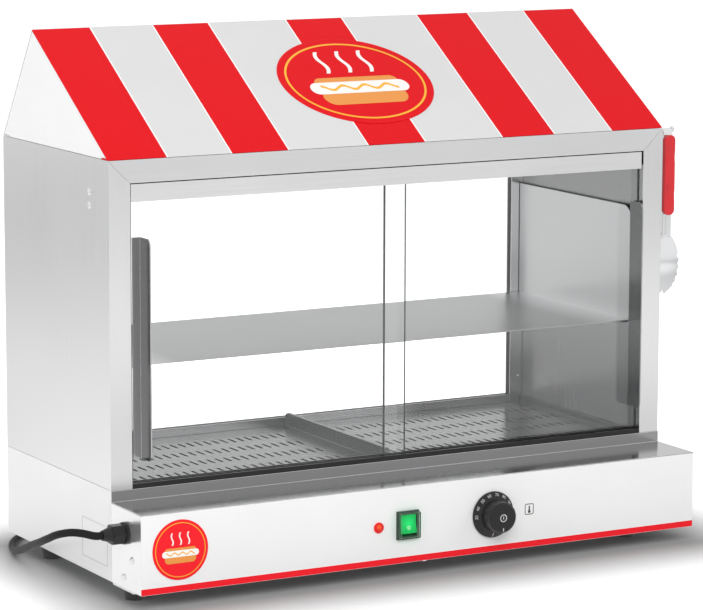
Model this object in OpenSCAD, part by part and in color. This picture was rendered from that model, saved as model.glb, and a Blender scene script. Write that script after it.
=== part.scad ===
// Countertop hot dog steamer: a glazed cabinet with a gable roof on a water-tank base.
// X runs along the front, Y from front to back, Z up from the surface that the feet stand on.

/* [Cabinet] */
// Width of the cabinet and its base
body_w = 580; // [520:5:640]
// Depth of the cabinet, front face to back face
body_d = 230; // [215:1:260]
// Height of the cabinet between base and roof
cabinet_h = 293; // [270:1:330]
// Space between outer side panel and inner wall
wall_gap = 18; // [14:0.5:22]
// Thickness of the sheet steel
sheet = 1; // [0.8:0.1:1.2]

/* [Base] */
// Height of the base under the cabinet
base_h = 82; // [78:1:95]
// Depth of the control box in front of the cabinet
control_d = 61; // [55:1:75]
// Height of the control box
control_h = 72; // [68:1:74]
// Height of the rubber feet
foot_h = 15; // [10:1:20]
// Diameter of a foot at its top
foot_d = 22; // [16:1:26]
// Diameter of a foot where it stands
foot_tip_d = 18; // [12:1:20]
// Left feet, in from the left side
foot_in_left = 18; // [16:1:40]
// Right feet, in from the right side
foot_in_right = 42; // [16:1:60]
// Front feet, behind the cabinet front
foot_front_y = -9; // [-30:1:10]
// Back feet, in from the back
foot_in_back = 60; // [20:1:80]

/* [Face frame] */
// Width of the two upright frame members
stile_w = 21; // [19:0.5:26]
// Height of the top frame member
rail_h = 20.5; // [16:0.5:24]
// Height of the top track cover that shows under the rail
header_h = 17; // [14:0.5:20]

/* [Doors] */
// Thickness of the door glass
glass_t = 4; // [3:0.5:5]
// How far the closed doors overlap in the middle
door_overlap = 15; // [8:1:24]
// Width of a groove in the door tracks
groove_w = 5; // [4.6:0.1:6.5]
// Thickness of a track wall
track_wall = 1.2; // [1:0.1:1.6]
// Height of the bottom door track
track_h = 4; // [3.5:0.1:5]
// Left door drawn standing this far open
left_door_ajar = 4; // [0:0.5:8]
// Length of a door pull
pull_l = 198; // [150:1:220]
// Width of the pull's leg on the glass
pull_leg = 7.5; // [6:0.5:10]
// How far the pull's flange stands out
pull_out = 21; // [15:0.5:25]
// Corner radius of the pull's flange
pull_r = 6; // [3:0.5:9]
// Height of the pulls' middle over the base's underside
pull_mid = 207; // [195:1:220]

/* [Shelf] */
// Height of the shelf over the base seam
shelf_z = 108; // [95:1:120]
// Height of the shelf's side plates
shelf_side_h = 111; // [80:1:120]
// Gap between the shelf's side plates and the walls
shelf_side_gap = 4; // [3:0.5:6]
// Corner radius of the side plates
shelf_r = 12; // [6:1:20]
// Drop of the shelf rails below the shelf
shelf_rail_h = 12; // [8:1:16]

/* [Trays] */
// Depth of the tray floor below the base seam
tray_drop = 5; // [4:0.5:6]
// Height of the flanges that meet in the middle
tray_flange_h = 13; // [9:0.5:16]
// Height of the low flange along the wall
tray_lip_h = 7; // [4:0.5:9]
// Length of a steam slot
slot_l = 18; // [12:1:22]
// Width of a steam slot
slot_w = 3; // [2:0.2:4]
// Slot spacing along the tray
slot_pitch = 8.8; // [8:0.2:12]
// Slot row spacing
slot_row_pitch = 39; // [34:1:40]
// Rows of slots
slot_rows = 4; // [3:1:4]

/* [Water tank] */
// Depth of the tank below its rim
tank_depth = 60; // [50:1:66]
// Margin between the tank mouth and the cabinet sides
tank_side_in = 30; // [26:1:45]
// Margin between the tank mouth and the front and back
tank_end_in = 38; // [34:1:44]
// Diameter of the heating element tube
element_d = 8; // [6:0.5:10]
// Height of the element over the tank floor
element_lift = 14; // [10:1:20]

/* [Roof] */
// Height of the roof over the cabinet
roof_h = 103; // [85:1:115]
// Ridge, behind the cabinet front
ridge_y = 161; // [145:1:175]

/* [Controls] */
// Knob, from the left side
knob_x = 357; // [330:1:400]
// Height of the controls' centre line over the base's underside
control_z = 35.5; // [33:0.5:40]
// Diameter of the knob's skirt
knob_skirt_d = 43; // [36:1:48]
// Diameter of the knob's grip
knob_grip_d = 30; // [25:1:33]
// How far the knob stands out
knob_out = 20; // [16:1:28]
// Switch, from the left side
switch_x = 266.5; // [256:0.5:280]
// Width of the switch bezel
switch_w = 22.5; // [21:0.5:26]
// Height of the switch bezel
switch_h = 26; // [24.5:0.5:31]
// Lamp, from the left side
lamp_x = 237; // [215:1:244]
// Diameter of the lamp lens
lamp_d = 10; // [9:0.5:12]

/* [Tongs] */
// Length of the tongs from bow to spoon tip
tongs_l = 160; // [140:1:185]
// Width of an arm
tongs_arm_w = 9.5; // [8:0.5:11]
// Width of a spoon
tongs_spoon_w = 26; // [20:0.5:28]
// Length of a spoon
tongs_spoon_l = 59; // [48:1:66]
// Length of the grip sleeves
tongs_grip_l = 77; // [62:1:84]
// Gap between the two arms
tongs_gap = 10; // [9:0.5:14]
// Thickness of the tongs' strip
tongs_t = 1.2; // [1:0.1:1.4]
// Tongs' centre, out from the cabinet side
tongs_out = 17; // [16:0.5:24]
// Tongs' centre, behind the cabinet front
tongs_y = 21; // [18:1:40]

/* [Cord] */
// Diameter of the mains cord
cord_d = 7; // [6.5:0.1:7.5]
// Diameter of the cable gland's nut
gland_d = 19; // [16:0.5:21]

/* [Hidden] */
$fn = 48;

// Clearances
seam = 0.4;          // line that shows between two neighbouring sheets
play = 0.3;          // gap between pieces that lie close or slide

// Levels over the standing surface
base_z = foot_h;
seam_z = base_z + base_h;
eave_z = seam_z + cabinet_h;
ridge_z = eave_z + roof_h;
panel_top_z = base_z + control_h;
tray_z = seam_z - tray_drop;         // top of the tray floor
deck_z = tray_z - sheet;             // top of the tank rim, which the trays lie on
rail_z = eave_z - rail_h;            // underside of the top frame member
header_z = rail_z - header_h;        // underside of the track cover
ceiling_z = rail_z + 1.5;            // underside of the ceiling
shelf_top_z = seam_z + shelf_z;
controls_z = base_z + control_z;

// Planes across the width and the depth
inner_l = wall_gap + sheet;          // inner face of the left wall
inner_r = body_w - inner_l;
mid_x = body_w / 2;
track_y = sheet + 1.5;               // front of the door tracks
front_glass_y = track_y + track_wall + (groove_w - glass_t) / 2;
groove_step = groove_w + track_wall;
rear_glass_door_y = front_glass_y + groove_step;
track_d = 3 * track_wall + 2 * groove_w;
shelf_y = track_y + track_d + 1.4;   // front edge of shelf and trays
rear_frame_d = 10;                   // depth of the rear glazing channel
rear_frame_y = body_d - sheet - play - rear_frame_d;
inside_back_y = rear_frame_y - 1;    // back edge of shelf and trays
ledge = 12;                          // width of the flanges that fix the sheets

// Reach of the part, which puts its origin under the middle of its box
gland_nut_l = 14;
gland_taper_l = 9;
gland_l = gland_nut_l + gland_taper_l;
spoon_half = tongs_spoon_w / 2;
peg_d = 4;
peg_bend_r = 2.5;
peg_end_x = body_w + tongs_out + tongs_arm_w / 2 + 1;
reach_left = -gland_l;
reach_right = max(peg_end_x + peg_bend_r + peg_d / 2, body_w + tongs_out + spoon_half);
reach_front = -control_d - knob_out;
reach_back = body_d;

module place() {
    translate([-(reach_left + reach_right) / 2, -(reach_front + reach_back) / 2, 0])
        children();
}

// Box between two corners
module block(low, high) {
    translate(low)
        cube(high - low);
}

// Cylinder along Y, from y0 to y1
module rod_y(x, z, d, y0, y1) {
    translate([x, y0, z])
        rotate([-90, 0, 0])
            cylinder(d = d, h = y1 - y0);
}

// Cylinder along X, from x0 to x1
module rod_x(y, z, d, x0, x1) {
    translate([x0, y, z])
        rotate([0, 90, 0])
            cylinder(d = d, h = x1 - x0);
}

// Outline in Y and Z, extruded along X from x0 to x1
module along_x(x0, x1) {
    translate([x0, 0, 0])
        rotate([90, 0, 90])
            linear_extrude(x1 - x0)
                children();
}

// Outline in X and Z, extruded along Y from y0 to y1
module along_y(y0, y1) {
    translate([0, y1, 0])
        rotate([90, 0, 0])
            linear_extrude(y1 - y0)
                children();
}

// The same piece on the other side of the cabinet
module mirror_x() {
    translate([body_w, 0, 0])
        mirror([1, 0, 0])
            children();
}

// Square with round corners on the sides that are asked for
module round_rect(w, h, r) {
    translate([r, 0])
        square([w - 2 * r, h]);
    translate([0, r])
        square([w, h - 2 * r]);
    for (x = [r, w - r], y = [r, h - r])
        translate([x, y])
            circle(r);
}

// Base

module base_side() {
    block([0, seam, base_z], [sheet, body_d, seam_z]);
    block([0, seam, base_z], [ledge, body_d - sheet, base_z + sheet]);
    block([0, sheet, deck_z - 2 * sheet], [ledge, body_d - sheet, deck_z - sheet]);
    block([sheet, 0, base_z + 2 * sheet], [ledge, sheet, panel_top_z - sheet]);
    block([0, seam, base_z + 2 * sheet], [ledge, sheet, panel_top_z - sheet]);
}

module base_left_panel() {
    color("whitesmoke")
        place()
            base_side();
}

module base_right_panel() {
    color("whitesmoke")
        place()
            mirror_x()
                base_side();
}

module base_rear_panel() {
    color("whitesmoke")
        place()
            union() {
                block([sheet, body_d - sheet, base_z], [body_w - sheet, body_d, seam_z]);
                block([ledge, body_d - ledge, base_z],
                      [body_w - ledge, body_d - sheet, base_z + sheet]);
                block([ledge, body_d - ledge, deck_z - 2 * sheet],
                      [body_w - ledge, body_d - sheet, deck_z - sheet]);
            }
}

vent_w = 4;
vent_l = 40;
vent_pitch = 12;
vent_count = 9;

module base_floor() {
    color("gainsboro")
        place()
            difference() {
                block([sheet, sheet - control_d, base_z + sheet],
                      [body_w - sheet, body_d - sheet, base_z + 2 * sheet]);
                for (i = [0 : vent_count - 1], side = [0, 1])
                    translate([(side ? body_w - 150 : 60) + i * vent_pitch,
                               ledge + 6 - control_d, base_z])
                        linear_extrude(4 * sheet)
                            translate([-vent_w / 2, 0])
                                round_rect(vent_w, vent_l, vent_w / 2 - 0.01);
            }
}

foot_rim_h = 2;
foot_stud_d = 6;

// Rubber foot whose stud meets the floor sheet
module foot(x, y) {
    translate([x, y, 0]) {
        cylinder(d1 = foot_tip_d, d2 = foot_d, h = foot_h - foot_rim_h);
        translate([0, 0, foot_h - foot_rim_h])
            cylinder(d = foot_d + 1, h = foot_rim_h);
        cylinder(d = foot_stud_d, h = foot_h + sheet);
    }
}

cover_rear_y = -seam;
cover_front_y = -43;
cover_h = 2.2;

// Cover under the control box, with a hole round each front foot
module service_cover() {
    color("whitesmoke")
        place()
            difference() {
                block([sheet, cover_front_y, base_z - cover_h],
                      [body_w - sheet, cover_rear_y, base_z]);
                block([2 * sheet, cover_front_y + sheet, base_z - cover_h - 1],
                      [body_w - 2 * sheet, cover_rear_y - sheet, base_z - sheet]);
                for (x = [foot_in_left, body_w - foot_in_right])
                    translate([x, foot_front_y, base_z - cover_h - 1])
                        cylinder(d = foot_d + 1 + 2 * play, h = cover_h + 2);
            }
}

module feet() {
    color("black")
        place()
            for (x = [foot_in_left, body_w - foot_in_right],
                 y = [foot_front_y, body_d - foot_in_back])
                foot(x, y);
}

// Control box: the white front and ends are one folded sheet

gland_y = -30;
gland_z = base_z + 50.5;
gland_hole_d = 13;
shaft_d = 6;
shaft_hole_d = 7;
lamp_hole_d = 8;
switch_hole_w = switch_w - 4;
switch_hole_h = switch_h - 4;

module control_panel() {
    color("whitesmoke")
        place()
            difference() {
                block([0, -control_d, base_z], [body_w, 0, panel_top_z - sheet]);
                block([sheet, sheet - control_d, base_z + sheet],
                      [body_w - sheet, 1, panel_top_z]);
                block([ledge, ledge - control_d, base_z - 1],
                      [body_w - ledge, 1, base_z + 2]);
                rod_x(gland_y, gland_z, gland_hole_d, -5, 5);
                rod_y(knob_x, controls_z, shaft_hole_d, -control_d - 5, 5 - control_d);
                rod_y(lamp_x, controls_z, lamp_hole_d, -control_d - 5, 5 - control_d);
                block([switch_x - switch_hole_w / 2, -control_d - 5,
                       controls_z - switch_hole_h / 2],
                      [switch_x + switch_hole_w / 2, 5 - control_d,
                       controls_z + switch_hole_h / 2]);
            }
}

sill_d = track_y + track_d + 0.5;

// Top of the control box, folded up to the sill that the cabinet front stands on
module control_top() {
    color("silver")
        place() {
            block([0, -control_d, panel_top_z - sheet], [body_w, 0, panel_top_z]);
            block([0, -sheet, panel_top_z - sheet], [body_w, 0, seam_z]);
            block([sheet + play, -sheet, seam_z - sheet],
                  [body_w - sheet - play, sill_d, seam_z]);
        }
}

// Cabinet

module cabinet_side() {
    block([0, sheet, seam_z + seam], [sheet, body_d, eave_z]);
    block([0, sill_d + play, seam_z + seam], [wall_gap - play, body_d, seam_z + seam + sheet]);
    block([0, body_d - sheet, seam_z + seam], [inner_l, body_d, eave_z]);
    block([0, sheet, eave_z - sheet], [ledge, body_d, eave_z]);
}

module cabinet_left_panel() {
    color("silver")
        place()
            cabinet_side();
}

module cabinet_right_panel() {
    color("silver")
        place()
            mirror_x()
                cabinet_side();
}

module inner_wall() {
    block([wall_gap, sheet + play, seam_z], [inner_l, body_d - sheet - play, ceiling_z]);
    block([wall_gap, sill_d + play, deck_z], [inner_l, body_d - sheet - play, ceiling_z]);
}

module inner_left_wall() {
    color("silver")
        place()
            inner_wall();
}

module inner_right_wall() {
    color("silver")
        place()
            mirror_x()
                inner_wall();
}

// Ceiling sheet, folded up along the back to close the cabinet over the rear pane
module ceiling_panel() {
    color("silver")
        place()
            union() {
                block([sheet + play, sheet + play, ceiling_z],
                      [body_w - sheet - play, body_d - sheet - play, ceiling_z + sheet]);
                block([inner_l + play, body_d - 2 * sheet, ceiling_z],
                      [inner_r - play, body_d, ceiling_z + sheet]);
                block([inner_l + play, body_d - sheet, ceiling_z],
                      [inner_r - play, body_d, eave_z]);
            }
}

// Upright of the face frame, with its mitred top and the return inside the side panel
module stile() {
    along_y(0, sheet)
        polygon([[0, seam_z], [stile_w, seam_z], [stile_w, rail_z - seam],
                 [0, eave_z - seam]]);
    block([sheet, sheet, seam_z], [2 * sheet, ledge, rail_z - seam]);
}

module left_stile() {
    color("silver")
        place()
            stile();
}

module right_stile() {
    color("silver")
        place()
            mirror_x()
                stile();
}

module top_rail() {
    color("silver")
        place() {
            along_y(0, sheet)
                polygon([[0, eave_z], [stile_w, rail_z], [body_w - stile_w, rail_z],
                         [body_w, eave_z]]);
            block([ledge + play, 0, eave_z - sheet], [body_w - ledge - play, ledge + 6, eave_z]);
        }
}

header_in = 1.2;     // the cover stops short of the uprights and the rail by this

// Cover strip on the front of the upper track
module header_cover() {
    color("silver")
        place()
            block([stile_w + header_in, track_y - sheet, header_z],
                  [body_w - stile_w - header_in, track_y, rail_z - header_in]);
}

// Two grooves side by side, as an outline in Y and Z
module track_outline(depth, base, front) {
    difference() {
        translate([-front, 0])
            square([track_d + front, depth]);
        for (i = [0, 1])
            translate([track_wall + i * groove_step, base])
                square([groove_w, depth]);
    }
}

top_track_h = 15;
track_floor = 1;
track_front = 1.2;   // the bottom track's front wall is thicker by this

module top_track() {
    color("dimgray")
        place()
            along_x(inner_l + play, inner_r - play)
                translate([track_y, ceiling_z])
                    mirror([0, 1])
                        track_outline(top_track_h, track_floor + sheet, 0);
}

module bottom_track() {
    color("black")
        place()
            along_x(inner_l + play, inner_r - play)
                translate([track_y, seam_z])
                    track_outline(track_h, track_floor, track_front);
}

// Rear glazing

rear_post_w = 14;    // cover of the channels over the glass
rear_rail_z = deck_z;
rear_sight_h = 9;    // height of the bottom channel
rear_top_h = 12;
gasket_t = 1.6;
rear_pane_y = rear_frame_y + rear_frame_d / 2 - glass_t / 2;
rear_pane_in = 5;

// Channel open to the glass, as an outline: depth along Y, width along the pane
module channel_outline(w) {
    square([sheet, rear_frame_d]);
    square([w, sheet]);
    translate([0, rear_frame_d - sheet])
        square([w, sheet]);
}

module rear_post() {
    translate([inner_l + play, rear_frame_y, rear_rail_z])
        linear_extrude(ceiling_z - rear_rail_z)
            channel_outline(rear_post_w);
}

module rear_posts() {
    color("silver")
        place() {
            rear_post();
            mirror_x()
                rear_post();
        }
}

// Channel for the pane's edge, as an outline in Y and Z that opens upwards
module rail_outline(w) {
    square([rear_frame_d, sheet]);
    for (y = [0, rear_frame_d - sheet])
        translate([y, 0])
            square([sheet, w]);
}

module rear_rails() {
    color("silver")
        place()
            along_x(inner_l + rear_post_w + 2 * play, inner_r - rear_post_w - 2 * play) {
                translate([rear_frame_y, rear_rail_z])
                    rail_outline(rear_sight_h);
                translate([rear_frame_y, ceiling_z])
                    mirror([0, 1])
                        rail_outline(rear_top_h);
            }
}

pane_l = inner_l + rear_pane_in;
pane_r = inner_r - rear_pane_in;
pane_low = rear_rail_z + sheet + gasket_t;
pane_high = ceiling_z - sheet - gasket_t;

module rear_glass() {
    color([0.8, 0.9, 0.9, 0.4])
        place()
            block([pane_l, rear_pane_y, pane_low], [pane_r, rear_pane_y + glass_t, pane_high]);
}

// Four rubber strips that hold the pane in its channels
module rear_gasket() {
    front = rear_frame_y + sheet;
    back = rear_frame_y + rear_frame_d - sheet;
    post_in = inner_l + play + sheet;
    color("black")
        place()
            difference() {
                union() {
                    for (x = [post_in, body_w - post_in - rear_post_w + 3])
                        block([x, front, pane_low + ledge],
                              [x + rear_post_w - 3, back, pane_high - ledge]);
                    block([inner_l + rear_post_w + 3, front, rear_rail_z + sheet],
                          [inner_r - rear_post_w - 3, back, rear_rail_z + rear_sight_h - 1]);
                    block([inner_l + rear_post_w + 3, front, ceiling_z - rear_top_h + 1],
                          [inner_r - rear_post_w - 3, back, ceiling_z - sheet]);
                }
                block([pane_l, rear_pane_y, pane_low],
                      [pane_r, rear_pane_y + glass_t, pane_high]);
            }
}

// Roof

front_pitch = atan(roof_h / ridge_y);
back_pitch = atan(roof_h / (body_d - ridge_y));

// Gable outline in Y and Z, drawn in by t square to each slope
function gable_points(t) = let (
    front = t / sin(front_pitch),
    back = body_d - t / sin(back_pitch),
    rise_f = tan(front_pitch),
    rise_b = tan(back_pitch),
    apex_y = (rise_f * front + rise_b * back) / (rise_f + rise_b)
) [[front, 0], [apex_y, rise_f * (apex_y - front)], [back, 0]];

roof_hem = 14;

module roof_panel() {
    color("white")
        place()
            translate([0, 0, eave_z + seam])
                along_x(0, body_w) {
                    difference() {
                        polygon(gable_points(0));
                        polygon(gable_points(sheet));
                    }
                    intersection() {
                        polygon(gable_points(0));
                        union() {
                            square([roof_hem, sheet]);
                            translate([body_d - roof_hem, 0])
                                square([roof_hem, sheet]);
                        }
                    }
                }
}

gable_in = 0.5;

module gable() {
    translate([0, 0, eave_z + seam]) {
        along_x(gable_in, gable_in + sheet)
            difference() {
                polygon(gable_points(sheet + play / 3));
                translate([0, -1])
                    square([roof_hem + play, sheet + 1 + play]);
                translate([body_d - roof_hem - play, -1])
                    square([roof_hem + play, sheet + 1 + play]);
            }
    }
}

module left_gable() {
    color("white")
        place()
            gable();
}

module right_gable() {
    color("white")
        place()
            mirror_x()
                gable();
}

// Sliding doors

glass_low = seam_z + track_floor + play;
glass_high = ceiling_z - sheet - track_floor - 4;
door_end_gap = 0.5;  // between a closed door and the wall
door_w = (inner_r - inner_l) / 2 - door_end_gap + door_overlap / 2;
left_door_x = inner_l + door_end_gap + left_door_ajar;
right_door_x = inner_r - door_end_gap - door_w;
pull_mid_z = base_z + pull_mid;
pull_edge = 0.5;     // pull, in from the edge of the glass

module left_door_glass() {
    color([0.8, 0.9, 0.9, 0.4])
        place()
            block([left_door_x, front_glass_y, glass_low],
                  [left_door_x + door_w, front_glass_y + glass_t, glass_high]);
}

module right_door_glass() {
    color([0.8, 0.9, 0.9, 0.4])
        place()
            block([right_door_x, rear_glass_door_y, glass_low],
                  [right_door_x + door_w, rear_glass_door_y + glass_t, glass_high]);
}

// Folded pull whose leg is stuck to the glass, flange to the right, from its outer edge
module door_pull(glass_y) {
    fold_y = glass_y - sheet;
    block([0, fold_y, pull_mid_z - pull_l / 2], [pull_leg, glass_y, pull_mid_z + pull_l / 2]);
    translate([pull_leg, glass_y - pull_out, pull_mid_z - pull_l / 2])
        rotate([90, 0, 90])
            linear_extrude(sheet) {
                round_rect(pull_out, pull_l, pull_r);
                translate([pull_r, 0])
                    square([pull_out - pull_r, pull_l]);
            }
}

module left_door_pull() {
    color("gray")
        place()
            translate([left_door_x + pull_edge, 0, 0])
                door_pull(front_glass_y);
}

module right_door_pull() {
    color("gray")
        place()
            translate([right_door_x + door_w - pull_edge, 0, 0])
                mirror([1, 0, 0])
                    door_pull(rear_glass_door_y);
}

// Shelf

shelf_l = inner_l + shelf_side_gap;
shelf_r_x = inner_r - shelf_side_gap;
shelf_rail_w = 14;

module shelf_side() {
    along_x(shelf_l, shelf_l + sheet)
        translate([shelf_y, shelf_top_z - sheet]) {
            square([inside_back_y - shelf_y, shelf_side_h - shelf_r]);
            translate([shelf_r, 0])
                square([inside_back_y - shelf_y - shelf_r, shelf_side_h]);
            translate([shelf_r, shelf_side_h - shelf_r])
                circle(shelf_r);
        }
}

module shelf() {
    color("lightgray")
        place() {
            shelf_side();
            mirror_x()
                shelf_side();
            block([shelf_l, shelf_y, shelf_top_z - sheet],
                  [shelf_r_x, inside_back_y, shelf_top_z]);
        }
}

module shelf_rail() {
    top = shelf_top_z - sheet;
    block([inner_l, shelf_y, top - shelf_rail_h], [inner_l + sheet, inside_back_y, top]);
    block([inner_l, shelf_y, top - sheet], [inner_l + shelf_rail_w, inside_back_y, top]);
}

module shelf_rails() {
    color("silver")
        place() {
            shelf_rail();
            mirror_x()
                shelf_rail();
        }
}

// Perforated trays

tray_wall_gap = 1.5;
tray_l = inner_l + tray_wall_gap;
tray_r = mid_x - 0.5;
tray_front = shelf_y;
tray_back = inside_back_y;
slot_margin = 12;
slot_end_margin = 27;
slot_area_w = tray_r - slot_end_margin - tray_l - slot_margin;
slot_count = floor(slot_area_w / slot_pitch) + 1;
slot_first_x = tray_l + slot_margin;
slot_mid_y = (tray_front + tray_back) / 2;
ear_r = 5;

// Row of slots with round ends, which run front to back
module slots() {
    for (row = [0 : slot_rows - 1], i = [0 : slot_count - 1])
        translate([slot_first_x + i * slot_pitch,
                   slot_mid_y + (row - (slot_rows - 1) / 2) * slot_row_pitch]) {
            square([slot_w, slot_l - slot_w], center = true);
            for (end = [-1, 1])
                translate([0, end * (slot_l - slot_w) / 2])
                    circle(d = slot_w, $fn = 16);
        }
}

module tray() {
    translate([0, 0, tray_z - sheet])
        linear_extrude(sheet)
            difference() {
                translate([tray_l, tray_front])
                    square([tray_r - tray_l, tray_back - tray_front]);
                slots();
            }
    block([tray_l, tray_front, tray_z - sheet],
          [tray_l + sheet, tray_back, tray_z - sheet + tray_lip_h]);
    along_x(tray_r - sheet, tray_r)
        translate([tray_front, tray_z - sheet]) {
            square([tray_back - tray_front, tray_flange_h + sheet - ear_r]);
            translate([ear_r, 0])
                square([tray_back - tray_front - 2 * ear_r, tray_flange_h + sheet]);
            for (y = [ear_r, tray_back - tray_front - ear_r])
                translate([y, tray_flange_h + sheet - ear_r])
                    circle(ear_r);
        }
}

module left_tray() {
    color("darkgray")
        place()
            tray();
}

module right_tray() {
    color("darkgray")
        place()
            mirror_x()
                tray();
}

// Water tank and what hangs in it

tank_l = tank_side_in;
tank_r = body_w - tank_side_in;
tank_front = tank_end_in;
tank_back = body_d - tank_end_in;
tank_floor_z = deck_z - tank_depth;
element_z = tank_floor_z + sheet + element_lift;
element_in_x = 130;
element_out_x = 160;
element_turn_x = body_w - 110;
element_bend_r = 20;
element_front_y = tank_front + 50;
element_back_y = tank_back - 44;
element_hole_d = element_d + 2 * play;
probe_x = 95;
probe_z = deck_z - 26;
probe_d = 8;

// Deck that the trays lie on, open over the tank
module tank_deck() {
    color("silver")
        place()
            difference() {
                block([sheet + play, sheet + play, deck_z - sheet],
                      [body_w - sheet - play, body_d - sheet - play, deck_z]);
                block([tank_l, tank_front, deck_z - 2 * sheet], [tank_r, tank_back, deck_z + 1]);
            }
}

tank_seam = 0.1; // seam between the tank's floor and its end walls

// Floor and end walls of the tank that hangs under the deck
module water_tank() {
    color("silver")
        place() {
            block([tank_l - sheet, tank_front - sheet, tank_floor_z],
                  [tank_r + sheet, tank_back + sheet, tank_floor_z + sheet]);
            for (x = [tank_l - sheet, tank_r])
                block([x, tank_front, tank_floor_z + sheet + tank_seam],
                      [x + sheet, tank_back, deck_z - sheet]);
        }
}

// Front and rear walls of the tank, the front one with holes for the element and the probe
module tank_sides() {
    color("silver")
        place()
            difference() {
                for (y = [tank_front - sheet, tank_back])
                    block([tank_l - sheet, y, tank_floor_z + sheet],
                          [tank_r + sheet, y + sheet, deck_z - sheet]);
                for (x = [element_in_x, element_out_x])
                    rod_y(x, element_z, element_hole_d, tank_front - 5, tank_front + 5);
                rod_y(probe_x, probe_z, probe_d + 2 * play, tank_front - 5, tank_front + 5);
            }
}

// Quarter or half bend of the element in the plane of its loop
module element_bend(x, y, r, from, sweep) {
    translate([x, y, element_z])
        rotate([0, 0, from])
            rotate_extrude(angle = sweep)
                translate([r, 0])
                    circle(d = element_d);
}

element_plate_w = 54;
element_plate_h = 18;
element_plate_t = 2;
element_tail = 18;

module heating_element() {
    half = (element_back_y - element_front_y) / 2;
    plate_y = tank_front - sheet - element_plate_t;
    color("slategray")
        place() {
            rod_y(element_out_x, element_z, element_d, plate_y - element_tail,
                  element_front_y - element_bend_r);
            element_bend(element_out_x + element_bend_r, element_front_y - element_bend_r,
                         element_bend_r, 90, 90);
            rod_x(element_front_y, element_z, element_d, element_out_x + element_bend_r,
                  element_turn_x);
            element_bend(element_turn_x, element_front_y + half, half, -90, 180);
            rod_x(element_back_y, element_z, element_d, element_in_x + element_bend_r,
                  element_turn_x);
            element_bend(element_in_x + element_bend_r, element_back_y - element_bend_r,
                         element_bend_r, 90, 90);
            rod_y(element_in_x, element_z, element_d, plate_y - element_tail,
                  element_back_y - element_bend_r);
            block([(element_in_x + element_out_x - element_plate_w) / 2, plate_y,
                   element_z - element_plate_h / 2],
                  [(element_in_x + element_out_x + element_plate_w) / 2, tank_front - sheet,
                   element_z + element_plate_h / 2]);
        }
}

float_d = 18;
float_h = 16;

module level_probe() {
    color("dimgray")
        place() {
            rod_y(probe_x, probe_z, probe_d, tank_front - sheet - 16, tank_front + 22);
            rod_y(probe_x, probe_z, probe_d + 8, tank_front - sheet - 5, tank_front - sheet);
            translate([probe_x, tank_front + 20, probe_z - float_h / 2])
                cylinder(d = float_d, h = float_h);
        }
}

// Controls

panel_back_y = sheet - control_d;
thermostat_w = 40;
thermostat_h = 34;
thermostat_d = 30;
neck_d = 12;
neck_l = 6;          // from the panel to the thermostat's box
shaft_hole_l = 18;

module thermostat_body() {
    color("lightsteelblue")
        place()
            difference() {
                union() {
                    block([knob_x - thermostat_w / 2, panel_back_y + neck_l,
                           controls_z - thermostat_h / 2],
                          [knob_x + thermostat_w / 2, panel_back_y + neck_l + thermostat_d,
                           controls_z + thermostat_h / 2]);
                    block([knob_x - thermostat_w / 2, panel_back_y, controls_z - neck_d / 2],
                          [knob_x + thermostat_w / 2, panel_back_y + neck_l,
                           controls_z + neck_d / 2]);
                    rod_y(knob_x, controls_z, neck_d, panel_back_y, panel_back_y + neck_l);
                }
                rod_y(knob_x, controls_z, shaft_d + 2 * play, panel_back_y - 1,
                      panel_back_y + shaft_hole_l);
            }
}

bulb_d = 6;
bulb_span = 90;
bulb_x = 240;
bulb_lift = 34;      // over the tank's underside
clip_w = 6;
clip_h = 10;
clip_in = 15;        // clips, in from the bulb's ends

// Clip that holds the sensor bulb on the tank's front wall
module bulb_clip(x, y, z) {
    block([x, tank_front, z - clip_h / 2], [x + clip_w, y, z + clip_h / 2]);
}

module thermostat_bulb() {
    bulb_y = tank_front + bulb_d / 2 + 2;
    bulb_z = tank_floor_z + bulb_lift;
    color("peru")
        place() {
            rod_x(bulb_y, bulb_z, bulb_d, bulb_x, bulb_x + bulb_span);
            bulb_clip(bulb_x + clip_in, bulb_y, bulb_z);
            bulb_clip(bulb_x + bulb_span - clip_in - clip_w, bulb_y, bulb_z);
        }
}

shaft_back_y = panel_back_y + shaft_hole_l - 1;
knob_gap = 0.8;      // between panel and skirt
knob_back_y = -control_d - knob_gap;
knob_front_y = -control_d - knob_out;
knob_bore_l = 14;

module thermostat_shaft() {
    color("silver")
        place()
            rod_y(knob_x, controls_z, shaft_d, knob_back_y - knob_bore_l, shaft_back_y);
}

skirt_t = 4.5;

// Skirt with a bevelled rim for the dial, and the grip that stands out of it
module thermostat_knob() {
    color([0.12, 0.12, 0.12])
        place()
            translate([knob_x, knob_back_y, controls_z])
                rotate([90, 0, 0])
                    difference() {
                        rotate_extrude($fn = 96)
                            polygon([[0, 0], [knob_skirt_d / 2, 0], [knob_skirt_d / 2, 1.4],
                                     [knob_grip_d / 2 + 0.8, skirt_t],
                                     [knob_grip_d / 2, skirt_t + 0.5],
                                     [knob_grip_d / 2 - 0.8, knob_out - knob_gap - 1.5],
                                     [knob_grip_d / 2 - 2.3, knob_out - knob_gap],
                                     [0, knob_out - knob_gap]]);
                        translate([0, 0, -1])
                            cylinder(d = shaft_d, h = knob_bore_l + 1);
                    }
}

rocker_w = switch_w - 7;
rocker_h = switch_h - 9;
bezel_t = 3;
switch_body_d = 22;
pivot_d = 3;
pivot_y = panel_back_y + 2;

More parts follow.
